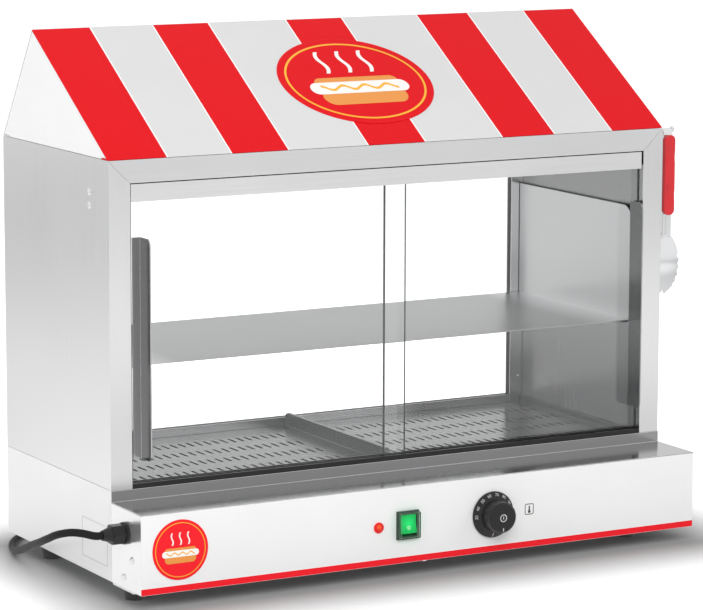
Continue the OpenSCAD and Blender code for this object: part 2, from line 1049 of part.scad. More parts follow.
module switch_body() {
    well_w = rocker_w + 1;
    well_h = rocker_h + 2.6;
    color([0.05, 0.12, 0.07])
        place()
            translate([switch_x, 0, controls_z])
                difference() {
                    union() {
                        block([-switch_w / 2, -control_d - bezel_t, -switch_h / 2],
                              [switch_w / 2, -control_d, switch_h / 2]);
                        block([play - switch_hole_w / 2, -control_d, play - switch_hole_h / 2],
                              [switch_hole_w / 2 - play, panel_back_y + switch_body_d,
                               switch_hole_h / 2 - play]);
                    }
                    block([-well_w / 2, -control_d - bezel_t - 1, -well_h / 2],
                          [well_w / 2, panel_back_y + 12, well_h / 2]);
                    rod_x(pivot_y, 0, pivot_d + 2 * play, -well_w / 2 - 1.2,
                          well_w / 2 + 1.2);
                }
}

rocker_tilt = 9;     // the rocker leans this far to either side of its middle
rocker_face = 6.8;   // from its pivot to its front
rocker_r = 24;       // radius of its hollow face

// Lit rocker on a pivot along X, drawn pressed in at the top
module switch_rocker() {
    color([0.1, 0.9, 0.4])
        place()
            translate([switch_x, pivot_y, controls_z])
                rotate([-rocker_tilt, 0, 0]) {
                    along_x(-rocker_w / 2, rocker_w / 2)
                        difference() {
                            translate([-rocker_face, -rocker_h / 2])
                                square([rocker_face + 4, rocker_h]);
                            translate([-rocker_face - rocker_r + 1, 0])
                                circle(r = rocker_r, $fn = 96);
                        }
                    rod_x(0, 0, pivot_d, -rocker_w / 2 - 1, rocker_w / 2 + 1);
                }
}

cover_t = 1;
cover_out = 4.5;

// Clear hood over the switch
module switch_cover() {
    color([0.9, 0.95, 0.95, 0.3])
        place()
            translate([switch_x, -control_d - bezel_t, controls_z])
                difference() {
                    block([1 - switch_w / 2, -cover_out, 1 - switch_h / 2],
                          [switch_w / 2 - 1, 0, switch_h / 2 - 1]);
                    block([1 + cover_t - switch_w / 2, cover_t - cover_out,
                           1 + cover_t - switch_h / 2],
                          [switch_w / 2 - 1 - cover_t, 1, switch_h / 2 - 1 - cover_t]);
                }
}

module indicator_lamp() {
    color("red")
        place()
            translate([lamp_x, -control_d, controls_z])
                rotate([90, 0, 0]) {
                    rotate_extrude()
                        intersection() {
                            translate([0, 3.5 - lamp_d / 2])
                                circle(d = lamp_d);
                            square([lamp_d, lamp_d]);
                        }
                    cylinder(d = lamp_d, h = 0.8);
                    translate([0, 0, -18])
                        cylinder(d = lamp_hole_d - 2 * play, h = 18);
                }
}

block_x = 60;
block_l = 42;

module terminal_block() {
    color("ivory")
        place()
            difference() {
                block([block_x, -38, base_z + 2 * sheet],
                      [block_x + block_l, -20, base_z + 2 * sheet + 16]);
                for (i = [0 : 2])
                    translate([block_x + 7 + i * 14, -29, base_z + 2 * sheet + 8])
                        cylinder(d = 5, h = 10);
            }
}

// Fasteners

screw_head_d = 6.5;
screw_head_h = 2.2;

// Pan head with a cross recess, whose axis runs along -X from the left side
module side_screw(y, z) {
    translate([0, y, z])
        rotate([0, -90, 0])
            difference() {
                intersection() {
                    cylinder(d = screw_head_d, h = screw_head_h);
                    translate([0, 0, screw_head_h - 4.2])
                        sphere(r = 4.2);
                }
                for (turn = [0, 90])
                    rotate([0, 0, turn + 20])
                        translate([-1.8, -0.4, screw_head_h - 0.8])
                            cube([3.6, 0.8, 2]);
            }
}

side_screw_places = [
    [39, eave_z - 31], [39, eave_z - 43], [-42, base_z + 28], [-25, base_z + 10],
];

under_screw_x = 288;
under_screw_y = 6 - control_d;

module pan_screws() {
    color("silver")
        place() {
            translate([under_screw_x, under_screw_y, base_z])
                rotate([0, -90, 0])
                    side_screw(0, 0);
            for (p = side_screw_places)
                side_screw(p[0], p[1]);
            mirror_x()
                for (p = side_screw_places)
                    side_screw(p[0], p[1]);
        }
}

// Tongs on their hook, on the right side of the cabinet

tongs_x = body_w + tongs_out;
bow_in = tongs_gap / 2;
bow_drop = 2.5;      // top of the bow, below the eave
bow_z = eave_z - bow_drop - tongs_t - bow_in;    // centre of the bow
peg_z = bow_z + bow_in - peg_d / 2 - play;
bow_leg = 5;
arm_top_z = bow_z - bow_leg - play;
spoon_tip_z = bow_z + bow_in + tongs_t - tongs_l;
spoon_mid_z = spoon_tip_z + tongs_spoon_l / 2;
grip_top_z = bow_z;
hook_plate_w = 16;
hook_plate_h = 34;
hook_plate_t = 1.5;
peg_tip_h = 0.5;

// Plate with a round peg whose end turns up

module tongs_hook() {
    color("silver")
        place() {
            along_x(body_w, body_w + hook_plate_t)
                translate([tongs_y - hook_plate_w / 2, peg_z - 26])
                    round_rect(hook_plate_w, hook_plate_h, 3);
            rod_x(tongs_y, peg_z, peg_d, body_w + hook_plate_t, peg_end_x);
            translate([peg_end_x, tongs_y, peg_z + peg_bend_r])
                rotate([90, 0, 0])
                    rotate([0, 0, -90])
                        rotate_extrude(angle = 90)
                            translate([peg_bend_r, 0])
                                circle(d = peg_d);
            translate([peg_end_x + peg_bend_r, tongs_y, peg_z + peg_bend_r]) {
                cylinder(d = peg_d, h = peg_tip_h);
                translate([0, 0, peg_tip_h])
                    sphere(d = peg_d);
            }
            for (z = [peg_z - 20, peg_z - 10])
                rod_x(tongs_y, z, 5, body_w + hook_plate_t, body_w + hook_plate_t + 1.2);
        }
}

// Half round over a straight part, as an outline in Y and Z
module bow_outline(r, leg) {
    intersection() {
        circle(r);
        translate([-r, 0])
            square([2 * r, r]);
    }
    translate([-r, -leg])
        square([2 * r, leg + 0.01]);
}

module tongs_bow() {
    color("silver")
        place()
            along_x(tongs_x - tongs_arm_w / 2, tongs_x + tongs_arm_w / 2)
                translate([tongs_y, bow_z])
                    difference() {
                        bow_outline(bow_in + tongs_t, bow_leg);
                        bow_outline(bow_in, bow_leg + 1);
                    }
}

scallops = 7;
scallop_r = 3.4;
dish_r = 75;
dish_depth = 5;

// Spoon outline in X and Z, drawn round its middle, with bites that leave teeth
module spoon_outline() {
    half_l = tongs_spoon_l / 2;
    difference() {
        scale([spoon_half / half_l, 1])
            circle(half_l, $fn = 96);
        for (side = [-1, 1], i = [0 : scallops - 1]) {
            angle = 18 + i * 100 / scallops;
            translate([side * (spoon_half + 1.7) * sin(angle),
                       -(half_l + 1.7) * cos(angle)])
                circle(scallop_r, $fn = 24);
        }
    }
}

// Arm as drawn for the front, whose inner face lies at Y 0 and whose dish bows to -Y
module tongs_arm() {
    along_y(-tongs_t, 0)
        translate([-tongs_arm_w / 2, spoon_mid_z])
            square([tongs_arm_w, arm_top_z - spoon_mid_z]);
}

module dished_arm() {
    rib_w = tongs_arm_w / 3;
    rib_low = spoon_mid_z + tongs_spoon_l / 2 - 2;
    difference() {
        tongs_arm();
        along_y(-tongs_t - 1, 1)
            translate([0, spoon_mid_z])
                scale([spoon_half / (tongs_spoon_l / 2), 1])
                    circle(tongs_spoon_l / 2 - 3, $fn = 96);
    }
    intersection() {
        translate([0, dish_r - dish_depth, spoon_mid_z])
            difference() {
                sphere(dish_r, $fn = 96);
                sphere(dish_r - tongs_t, $fn = 96);
            }
        along_y(-20, 2 * tongs_t)
            translate([0, spoon_mid_z])
                spoon_outline();
    }
    along_y(-tongs_t - 0.6, -tongs_t)
        translate([-rib_w / 2, rib_low])
            square([rib_w, grip_top_z - tongs_grip_l - 1 - rib_low]);
}

module tongs_front_arm() {
    color("gainsboro")
        place()
            translate([tongs_x, tongs_y - bow_in, 0])
                dished_arm();
}

module tongs_rear_arm() {
    color("gainsboro")
        place()
            translate([tongs_x, tongs_y + bow_in, 0])
                mirror([0, 1, 0])
                    dished_arm();
}

grip_t = 3.6;
grip_w = tongs_arm_w + 2;
grip_wrap_gap = 0.4; // the moulding's rim stops short of the arm's inner face by this
grip_corner_r = 5;
finger_r = 26;
finger_in = 1.1;     // depth of a finger hollow on the middle line
finger_lean = -18;
finger_places = [0.24, 0.72];

// Moulding on the outer side of an arm, with two finger hollows that lean outward
module grip() {
    low = grip_top_z - tongs_grip_l;
    difference() {
        along_y(-tongs_t - grip_t, -grip_wrap_gap)
            translate([-grip_w / 2, low])
                round_rect(grip_w, tongs_grip_l, grip_corner_r);
        for (part = finger_places)
            translate([0, -tongs_t - grip_t - finger_r + finger_in, low + tongs_grip_l * part])
                rotate([0, 0, finger_lean])
                    rod_x(0, 0, 2 * finger_r, -grip_w, grip_w, $fn = 96);
        block([-tongs_arm_w / 2 - 0.1, -tongs_t, low - 1],
              [tongs_arm_w / 2 + 0.1, 0.1, arm_top_z + 0.1]);
        block([-tongs_arm_w / 2 - play, -tongs_t - play, arm_top_z - 0.1],
              [tongs_arm_w / 2 + play, 10, grip_top_z + 1]);
    }
}

module tongs_front_grip() {
    color("crimson")
        place()
            translate([tongs_x, tongs_y - bow_in, 0])
                grip();
}

module tongs_rear_grip() {
    color("crimson")
        place()
            translate([tongs_x, tongs_y + bow_in, 0])
                mirror([0, 1, 0])
                    grip();
}

// Mains cord

cord_r = cord_d / 2;
gland_rim_l = 3;
lock_nut_l = 5;

// Hexagonal gland with a tapered end, its rim outside and its lock nut inside the panel

module cable_gland() {
    color("black")
        place()
            translate([-gland_l, gland_y, gland_z])
                rotate([0, 90, 0]) {
                    cylinder(d = cord_d + 2, h = gland_l + lock_nut_l);
                    cylinder(d1 = cord_d + 2, d2 = gland_d - 4, h = gland_taper_l);
                    translate([0, 0, gland_taper_l - 1])
                        rotate([0, 0, 30])
                            cylinder(d = gland_d, h = gland_nut_l - gland_rim_l + 2, $fn = 6);
                    translate([0, 0, gland_l - gland_rim_l])
                        cylinder(d = gland_d + 1, h = gland_rim_l);
                    translate([0, 0, gland_l - 1])
                        cylinder(d = gland_hole_d - 2 * play, h = lock_nut_l + 1);
                    translate([0, 0, gland_l + sheet])
                        cylinder(d = gland_d + 1, h = lock_nut_l - sheet, $fn = 6);
                }
}

// Route of the free stretch, from the gland to the coil behind the base
cord_route = [
    [-gland_l, gland_y, gland_z], [-30, -30, 66], [-39, -27, 68.5], [-47, -20, 69],
    [-52, -10, 66.5], [-54, 2, 62.5], [-53.5, 15, 57.5], [-51.5, 30, 52.5],
    [-48.5, 45, 47.5], [-45, 60, 43], [-41.5, 75, 38.5], [-38, 90, 34], [-34, 105, 29],
    [-30, 120, 24.5], [-26, 135, 20], [-22, 150, 15.5], [-18, 165, 11.5],
    [-14, 180, 7.5], [-10, 193, 5], [-6, 205, 3.8], [-2, 217, 3.5], [4, 229, 3.5],
    [12, 240, 3.5], [21, 250, 3.5], [32, 258, 3.5], [44, 263, 3.5], [57, 265, 3.5],
    [70, 265, 3.5], [85, 265, 3.5], [100, 265, 3.5], [112, 265, 3.5],
];

coil_x = 130;
coil_y = 310;
coil_pitch = 7.5;    // step between neighbouring turns, and between the layers
coil_out_r = 45;
coil_turns = 1.75;   // turns that lie flat in each layer
coil_steps = 24;     // rings in a turn
coil_swing = coil_turns + 0.25;

// Radius, height and place along the coil, by turns from its start in the bottom layer
function coil_radius(t) = coil_out_r - coil_pitch * (coil_swing - abs(coil_swing - t));
function coil_height(t) = cord_r + coil_pitch * min(1, max(0, (t - coil_turns) * 2));
function coil_point(t) = [
    coil_x + coil_radius(t) * sin(360 * t),
    coil_y - coil_radius(t) * cos(360 * t),
    coil_height(t),
];
coil_count = round(2 * coil_swing * coil_steps);
coil_winding = [for (i = [0 : coil_count]) coil_point(i / coil_steps)];
coil_last = coil_point(2 * coil_swing);
// Both ends run straight for one diameter
coil_points = concat([coil_winding[0] - [cord_d, 0, 0]], coil_winding,
                     [coil_last + [cord_d, 0, 0]]);

plug_z = 18;
lead_steps = 8;
lead_step = 8;
function ease(s) = s * s * (3 - 2 * s);
// Rises from the coil's upper layer to the plug's middle, straight at both ends
lead_route = [
    for (i = [0 : lead_steps])
        coil_last + [cord_d + lead_step * i, 0,
                     (plug_z - coil_last[2]) * ease(min(1, max(0, (i - 1) / (lead_steps - 2))))],
];
lead_end = lead_route[lead_steps];

function unit(v) = v / norm(v);
function tangent(p, i) = unit(p[min(i + 1, len(p) - 1)] - p[max(i - 1, 0)]);

// Tube swept along points, with rings square to it
module tube(points, r, sides) {
    count = len(points);
    rings = [
        for (i = [0 : count - 1])
            let (t = tangent(points, i), side = unit(cross(t, [0, 0, 1])), up = cross(side, t))
                for (k = [0 : sides - 1])
                    let (a = 360 * (k + 0.5) / sides)
                        points[i] + r * (cos(a) * side + sin(a) * up),
    ];
    walls = [
        for (i = [0 : count - 2], k = [0 : sides - 1])
            let (a = i * sides + k, b = i * sides + (k + 1) % sides)
                each [[a, b, a + sides], [b, b + sides, a + sides]],
    ];
    start = [for (k = [1 : sides - 2]) [0, k + 1, k]];
    last = (count - 1) * sides;
    stop = [for (k = [1 : sides - 2]) [last, last + k, last + k + 1]];
    polyhedron(rings, concat(walls, start, stop));
}

// Least gap between turns: centres half a turn or more apart, less the diameter
coil_least = min([
    for (i = [0 : 2 : coil_count], j = [i + coil_steps / 2 : coil_count])
        norm(coil_winding[i] - coil_winding[j]),
]) - cord_d;
echo(coil_least_gap = coil_least);

module power_cord() {
    color([0.1, 0.1, 0.1])
        place()
            tube(concat(cord_route, [coil_points[0]]), cord_r, 8);
}

module cord_coil() {
    color([0.1, 0.1, 0.1])
        place()
            tube(coil_points, cord_r, 6);
}

module plug_lead() {
    color([0.1, 0.1, 0.1])
        place()
            tube(lead_route, cord_r, 8);
}

plug_d = 35;
pin_d = 4.8;
pin_gap = 19;

// Round earthed plug lying on its side, with its tapered sleeve towards the cord
module mains_plug() {
    color([0.12, 0.12, 0.12])
        place()
            translate(lead_end)
                rotate([0, 90, 0]) {
                    rotate_extrude()
                        polygon([[0, 0], [cord_r + 1.5, 0], [cord_r + 3, 22], [plug_d / 2 - 4, 26],
                                 [plug_d / 2, 32], [plug_d / 2, 50], [plug_d / 2 - 1, 52],
                                 [0, 52]]);
                    for (side = [-1, 1])
                        translate([0, side * pin_gap / 2, 52])
                            cylinder(d = pin_d, h = 19);
                }
}

base_left_panel();
base_right_panel();
base_rear_panel();
base_floor();
service_cover();
feet();
control_panel();
control_top();
cabinet_left_panel();
cabinet_right_panel();
inner_left_wall();
inner_right_wall();
ceiling_panel();
left_stile();
right_stile();
top_rail();
header_cover();
top_track();
bottom_track();
rear_posts();
rear_rails();
rear_gasket();
rear_glass();
roof_panel();
left_gable();
right_gable();
left_door_glass();
left_door_pull();
right_door_glass();
right_door_pull();
shelf();
shelf_rails();
left_tray();
right_tray();
tank_deck();
water_tank();
tank_sides();
heating_element();
level_probe();
thermostat_body();
thermostat_bulb();
thermostat_shaft();
thermostat_knob();
switch_body();
switch_rocker();
switch_cover();
indicator_lamp();
terminal_block();
pan_screws();
tongs_hook();
tongs_bow();
tongs_front_arm();
tongs_rear_arm();
tongs_front_grip();
tongs_rear_grip();
cable_gland();
power_cord();
cord_coil();
plug_lead();
mains_plug();
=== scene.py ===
import math

import bpy
from mathutils import Matrix, Vector


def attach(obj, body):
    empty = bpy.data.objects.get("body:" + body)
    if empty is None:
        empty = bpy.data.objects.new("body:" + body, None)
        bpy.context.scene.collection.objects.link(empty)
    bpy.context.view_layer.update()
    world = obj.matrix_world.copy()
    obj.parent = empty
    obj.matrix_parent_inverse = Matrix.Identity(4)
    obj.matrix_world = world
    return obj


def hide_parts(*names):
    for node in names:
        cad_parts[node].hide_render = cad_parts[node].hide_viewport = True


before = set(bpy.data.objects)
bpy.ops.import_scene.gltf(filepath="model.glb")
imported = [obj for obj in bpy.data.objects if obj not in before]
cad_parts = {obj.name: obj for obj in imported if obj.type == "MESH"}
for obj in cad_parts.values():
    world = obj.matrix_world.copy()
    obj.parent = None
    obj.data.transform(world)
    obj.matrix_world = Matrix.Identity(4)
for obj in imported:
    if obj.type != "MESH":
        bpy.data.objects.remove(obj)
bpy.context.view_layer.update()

MM = 0.001
# Middle of the footprint, in the sizes of the part's own drawing
MID_X, MID_Y = 293.5, 74.5


def at(x, y, z):
    """A point of the drawing, in millimetres, as a place in the scene."""
    return Vector(((x - MID_X) * MM, (y - MID_Y) * MM, z * MM))


def deselect():
    if bpy.context.object and bpy.context.object.mode != "OBJECT":
        bpy.ops.object.mode_set(mode="OBJECT")
    bpy.ops.object.select_all(action="DESELECT")


def make_active(piece):
    deselect()
    piece.select_set(True)
    bpy.context.view_layer.objects.active = piece


deselect()

# Planes and places of the drawing that pieces here are put on
CONTROL_FACE = -61
REAR_POST_FRONT = 218.7
EAVE_Z = 390.4
ROOF_RUN, ROOF_RISE = 161, 103
SWITCH_MID = at(266.5, -64, 52)
# Bright spot of the lit lamp: up and to the left of the lens's middle, as a painted highlight
LAMP_BRIGHT_SPOT = at(235.4, -66.2, 52.4)


# Camera at the photograph's place: front left, a little above the eave

CAMERA_PLACE = at(-1236.4, -2662.5, 733.5)
CAMERA_YAW, CAMERA_PITCH, CAMERA_ROLL = (math.radians(a) for a in (29.0464, -9.108, 0.1436))
PHOTO_WIDTH = 703           # pixels
FOCAL_LENGTH = 3390.6       # pixels
SENSOR_WIDTH = 36


def place_camera():
    data = bpy.data.cameras.new("studio_camera")
    camera = bpy.data.objects.new("studio_camera", data)
    bpy.context.scene.collection.objects.link(camera)
    yaw, pitch, roll = CAMERA_YAW, CAMERA_PITCH, CAMERA_ROLL
    ahead = Vector((math.sin(yaw) * math.cos(pitch), math.cos(yaw) * math.cos(pitch),
                    math.sin(pitch)))
    side = Vector((math.cos(yaw), -math.sin(yaw), 0))
    up = side.cross(ahead)
    right = math.cos(roll) * side + math.sin(roll) * up
    top = -math.sin(roll) * side + math.cos(roll) * up
    turn = Matrix((right, top, -ahead)).transposed().to_4x4()
    camera.matrix_world = Matrix.Translation(CAMERA_PLACE) @ turn
    data.sensor_width = SENSOR_WIDTH
    data.lens = FOCAL_LENGTH / PHOTO_WIDTH * SENSOR_WIDTH
    data.clip_start, data.clip_end = 0.05, 50
    bpy.context.scene.camera = camera


place_camera()
bpy.context.scene.view_settings.view_transform = "Standard"


# Node helpers

def new_material(name):
    material = bpy.data.materials.new(name)
    material.use_nodes = True
    nodes = material.node_tree.nodes
    nodes.clear()
    out = nodes.new("ShaderNodeOutputMaterial")
    shader = nodes.new("ShaderNodeBsdfPrincipled")
    material.node_tree.links.new(shader.outputs[0], out.inputs[0])
    return material, material.node_tree, shader


def set_inputs(node, **values):
    for name, value in values.items():
        node.inputs[name.replace("_", " ")].default_value = value


def join(tree, a, b):
    tree.links.new(a, b)


def feed(tree, value, socket):
    """Links an output, or sets a number or a colour."""
    if isinstance(value, (int, float)):
        socket.default_value = value
    elif isinstance(value, tuple):
        socket.default_value = (*value, 1) if socket.type == "RGBA" else value
    else:
        join(tree, value, socket)


def math_node(tree, operation, a, b, clamp=False):
    node = tree.nodes.new("ShaderNodeMath")
    node.operation = operation
    node.use_clamp = clamp
    feed(tree, a, node.inputs[0])
    feed(tree, b, node.inputs[1])
    return node.outputs[0]


def vector_node(tree, operation, *values):
    node = tree.nodes.new("ShaderNodeVectorMath")
    node.operation = operation
    for socket, value in zip(node.inputs, values):
        feed(tree, value, socket)
    return node.outputs["Value" if operation in ("LENGTH", "DISTANCE", "DOT_PRODUCT") else "Vector"]


def mix_colour(tree, factor, a, b):
    node = tree.nodes.new("ShaderNodeMix")
    node.data_type = "RGBA"
    for socket, value in ((node.inputs[0], factor), (node.inputs[6], a), (node.inputs[7], b)):
        feed(tree, value, socket)
    return node.outputs[2]


def mix_shader(tree, factor, a, b):
    node = tree.nodes.new("ShaderNodeMixShader")
    join(tree, factor, node.inputs[0])
    join(tree, a, node.inputs[1])
    join(tree, b, node.inputs[2])
    return node.outputs[0]


def smooth_ramp(tree, value, from_low, from_high, to_low, to_high):
    node = tree.nodes.new("ShaderNodeMapRange")
    node.interpolation_type = "SMOOTHSTEP"
    set_inputs(node, From_Min=from_low, From_Max=from_high, To_Min=to_low, To_Max=to_high)
    join(tree, value, node.inputs["Value"])
    return node.outputs["Result"]


def object_place(tree):
    return tree.nodes.new("ShaderNodeTexCoord").outputs["Object"]


def split_axes(tree, vector):
    split = tree.nodes.new("ShaderNodeSeparateXYZ")
    join(tree, vector, split.inputs[0])
    return split.outputs


def band_mask(tree, value, low, high):
    """1 where value lies between low and high."""
    return math_node(tree, "MULTIPLY", math_node(tree, "GREATER_THAN", value, low),
                     math_node(tree, "LESS_THAN", value, high))


def closeness(tree, place, reach):
    """Falls from 1 at a place to 0 at that many metres from it."""
    away = vector_node(tree, "DISTANCE", object_place(tree), tuple(place))
    share = math_node(tree, "DIVIDE", away, reach)
    return math_node(tree, "POWER", math_node(tree, "SUBTRACT", 1.0, share, True), 1.6)


def shade(r, g, b):
    """A colour read as 0 to 255, turned into linear light."""
    def one(c):
        c = c / 255
        return c / 12.92 if c <= 0.04045 else ((c + 0.055) / 1.055) ** 2.4
    return (one(r), one(g), one(b))


# Shared effects, as node groups

BEVEL_SAMPLES = 6


def group_shell(name, inputs, outputs):
    group = bpy.data.node_groups.new(name, "ShaderNodeTree")
    for label, kind, value in inputs:
        socket = group.interface.new_socket(name=label, in_out="INPUT", socket_type=kind)
        if value is not None:
            socket.default_value = value
    for label in outputs:
        group.interface.new_socket(name=label, in_out="OUTPUT", socket_type="NodeSocketFloat")
    return group, group.nodes.new("NodeGroupInput"), group.nodes.new("NodeGroupOutput")


def noise(tree, vector, **values):
    node = tree.nodes.new("ShaderNodeTexNoise")
    set_inputs(node, **values)
    join(tree, vector, node.inputs["Vector"])
    return node


def rounded_normal(tree):
    node = tree.nodes.new("ShaderNodeBevel")
    node.samples = BEVEL_SAMPLES
    return node


def make_brushed_grain():
    """Fine lines along one axis: a tone that varies, a roughness that varies, and a height."""
    group, start, end = group_shell(
        "Brushed Grain",
        [("Vector", "NodeSocketVector", None), ("Lines", "NodeSocketVector", (40, 40, 2500)),
         ("Tone", "NodeSocketFloat", 0.06), ("Roughness", "NodeSocketFloat", 0.3)],
        ["Tone", "Roughness", "Height"])
    stretched = vector_node(group, "MULTIPLY", start.outputs["Vector"], start.outputs["Lines"])
    lines = noise(group, stretched, Scale=1.0, Detail=3.0, Roughness=0.6).outputs["Fac"]
    broad = noise(group, start.outputs["Vector"], Scale=9.0, Detail=2.0).outputs["Fac"]
    centred = math_node(group, "SUBTRACT", lines, 0.5)
    spread = math_node(group, "MULTIPLY", centred, start.outputs["Tone"])
    drift = math_node(group, "MULTIPLY", math_node(group, "SUBTRACT", broad, 0.5), 0.05)
    tone = math_node(group, "ADD", math_node(group, "ADD", spread, drift), 1.0)
    rough = math_node(group, "ADD", math_node(group, "MULTIPLY", centred, 0.12), drift)
    join(group, tone, end.inputs["Tone"])
    join(group, math_node(group, "ADD", rough, start.outputs["Roughness"]), end.inputs["Roughness"])
    join(group, lines, end.inputs["Height"])
    return group


def make_gloss_drift():
    """Slow drift in gloss, with a fine ripple, as on sprayed and moulded surfaces."""
    group, start, end = group_shell(
        "Gloss Drift",
        [("Vector", "NodeSocketVector", None), ("Ripple", "NodeSocketFloat", 700.0),
         ("Roughness", "NodeSocketFloat", 0.25), ("Drift", "NodeSocketFloat", 0.08)],
        ["Roughness", "Height", "Mask"])
    slow = noise(group, start.outputs["Vector"], Scale=14.0, Detail=4.0).outputs["Fac"]
    fine = noise(group, start.outputs["Vector"], Detail=2.0)
    join(group, start.outputs["Ripple"], fine.inputs["Scale"])
    moved = math_node(group, "MULTIPLY", math_node(group, "SUBTRACT", slow, 0.5),
                      start.outputs["Drift"])
    join(group, math_node(group, "ADD", moved, start.outputs["Roughness"]), end.inputs["Roughness"])
    join(group, fine.outputs["Fac"], end.inputs["Height"])
    join(group, slow, end.inputs["Mask"])
    return group


def make_fold_light():
    """How close a point lies to a folded edge, where a highlight is painted: 1 on the fold itself."""
    group, start, end = group_shell(
        "Fold Light",
        [("Radius", "NodeSocketFloat", 0.0009), ("Gain", "NodeSocketFloat", 3.4)], ["Light"])
    rounded = rounded_normal(group)
    join(group, start.outputs["Radius"], rounded.inputs["Radius"])
    flat = group.nodes.new("ShaderNodeNewGeometry")
    along = vector_node(group, "DOT_PRODUCT", rounded.outputs[0], flat.outputs["Normal"])
    bent = math_node(group, "SUBTRACT", 1.0, along)
    light = math_node(group, "MULTIPLY", bent, start.outputs["Gain"], True)
    join(group, light, end.inputs["Light"])
    return group


GRAIN = make_brushed_grain()
DRIFT = make_gloss_drift()
FOLD = make_fold_light()


def place_group(tree, group, **values):
    node = tree.nodes.new("ShaderNodeGroup")
    node.node_tree = group
    if "Vector" in node.inputs:
        join(tree, object_place(tree), node.inputs["Vector"])
    for name, value in values.items():
        node.inputs[name].default_value = value
    return node


def bump(tree, height, shader, strength, distance, edge):
    """Bump from a height, over edges rounded by that many metres."""
    node = tree.nodes.new("ShaderNodeBump")
    set_inputs(node, Strength=strength, Distance=distance)
    join(tree, height, node.inputs["Height"])
    soft = rounded_normal(tree)
    set_inputs(soft, Radius=edge)
    join(tree, soft.outputs[0], node.inputs["Normal"])
    join(tree, node.outputs[0], shader.inputs["Normal"])


# Finishes

# Pale colour of the highlight painted along folded edges
FOLD_HIGHLIGHT_TONE = (0.96, 0.96, 0.96)
GRAIN_DEPTH, RIPPLE_DEPTH = 0.00003, 0.0001
# Distances from the middle between which a sheet takes on its end colour, light painted towards the
# ends
END_NEAR, END_FAR = 0.215, 0.262


def brushed_sheet(name, colour, roughness, lines, tone, edge=0.0004, fold=0.9, relief=0.05,
                  lit_end_colour=None):
    """Brushed steel, with a highlight painted along its folds. Its colour may rise to another towards
    the cabinet's two ends, as painted light.
    """
    material, tree, shader = new_material(name)
    grain = place_group(tree, GRAIN, Lines=lines, Tone=tone, Roughness=roughness)
    scaled = tree.nodes.new("ShaderNodeVectorMath")
    scaled.operation = "SCALE"
    scaled.inputs[0].default_value = colour
    # Painted light: the colour rises towards the cabinet's ends
    if lit_end_colour:
        out = math_node(tree, "ABSOLUTE", split_axes(tree, object_place(tree))[0], 0.5)
        share = math_node(tree, "DIVIDE", math_node(tree, "SUBTRACT", out, END_NEAR),
                          END_FAR - END_NEAR, True)
        join(tree, mix_colour(tree, share, colour, lit_end_colour), scaled.inputs[0])
    join(tree, grain.outputs["Tone"], scaled.inputs["Scale"])
    # Painted highlight: folded edges turn pale, as if they caught the light
    fold_highlight = math_node(tree, "MULTIPLY", place_group(tree, FOLD).outputs["Light"], fold)
    join(tree, mix_colour(tree, fold_highlight, scaled.outputs[0], FOLD_HIGHLIGHT_TONE), shader.inputs["Base Color"])
    join(tree, grain.outputs["Roughness"], shader.inputs["Roughness"])
    set_inputs(shader, Metallic=1.0)
    bump(tree, grain.outputs["Height"], shader, relief, GRAIN_DEPTH, edge)
    return material


def gloss_parts(name, colour, roughness, ripple=700.0, drift=0.06, height=0.04, specular=0.5):
    """Paint, plastic or rubber, as its material, its nodes, its shader and its tone."""
    material, tree, shader = new_material(name)
    group = place_group(tree, DRIFT, Ripple=ripple, Roughness=roughness, Drift=drift)
    tone = mix_colour(tree, group.outputs["Mask"], tuple(c * 0.96 for c in colour),
                      tuple(min(1.0, c * 1.03) for c in colour))
    join(tree, tone, shader.inputs["Base Color"])
    join(tree, group.outputs["Roughness"], shader.inputs["Roughness"])
    set_inputs(shader, Specular_IOR_Level=specular)
    bump(tree, group.outputs["Height"], shader, height, RIPPLE_DEPTH, 0.0004)
    return material, tree, shader, tone


def gloss(*values, **named):
    return gloss_parts(*values, **named)[0]


WHITE = shade(238, 238, 238)
ROOF_WHITE = shade(217, 217, 217)
LINE_WHITE = shade(250, 250, 250)
BARE_METAL = (0.84, 0.84, 0.84)
SIGNAL_RED = shade(222, 2, 18)
STRIPE_RED = shade(244, 20, 36)

# Left and right side of each stripe on the roof, and the ridge that ends them
ROOF_STRIPES = ((-10, 57), (121.3, 177.5), (260, 319), (402.3, 458.4), (523, 590))
STRIPE_MARGIN = 1.3
STRIPES_END_Y = 160.6
# Bottom and top of the stripe on the front, and what lies before the box's ends
FRONT_STRIPE = (15.2, 20.9)
FRONT_ONLY_Y = -60.5
# Light painted on the panel round the switch and the lamp: place, reach, colour and strength
PANEL_PAINTED_GLOWS = ((SWITCH_MID, 0.026, (0.42, 0.9, 0.6), 0.45),
               (LAMP_BRIGHT_SPOT, 0.0085, (1.0, 0.25, 0.2), 0.8))


def roof_enamel():
    """Pale enamel with five red stripes on the front slope, each with a thin white margin."""
    material, tree, shader, tone = gloss_parts("roof_enamel", ROOF_WHITE, 0.32, drift=0.05,
                                               specular=0.1)
    x, y, _ = split_axes(tree, object_place(tree))

    def stripes(grow):
        mask = 0.0
        for left, right in ROOF_STRIPES:
            one = band_mask(tree, x, at(left - grow, 0, 0).x, at(right + grow, 0, 0).x)
            mask = math_node(tree, "MAXIMUM", mask, one)
        before_ridge = math_node(tree, "LESS_THAN", y, at(0, STRIPES_END_Y, 0).y)
        return math_node(tree, "MULTIPLY", mask, before_ridge)

    edged = mix_colour(tree, stripes(STRIPE_MARGIN), tone, LINE_WHITE)
    join(tree, mix_colour(tree, stripes(0), edged, SIGNAL_RED), shader.inputs["Base Color"])
    return material


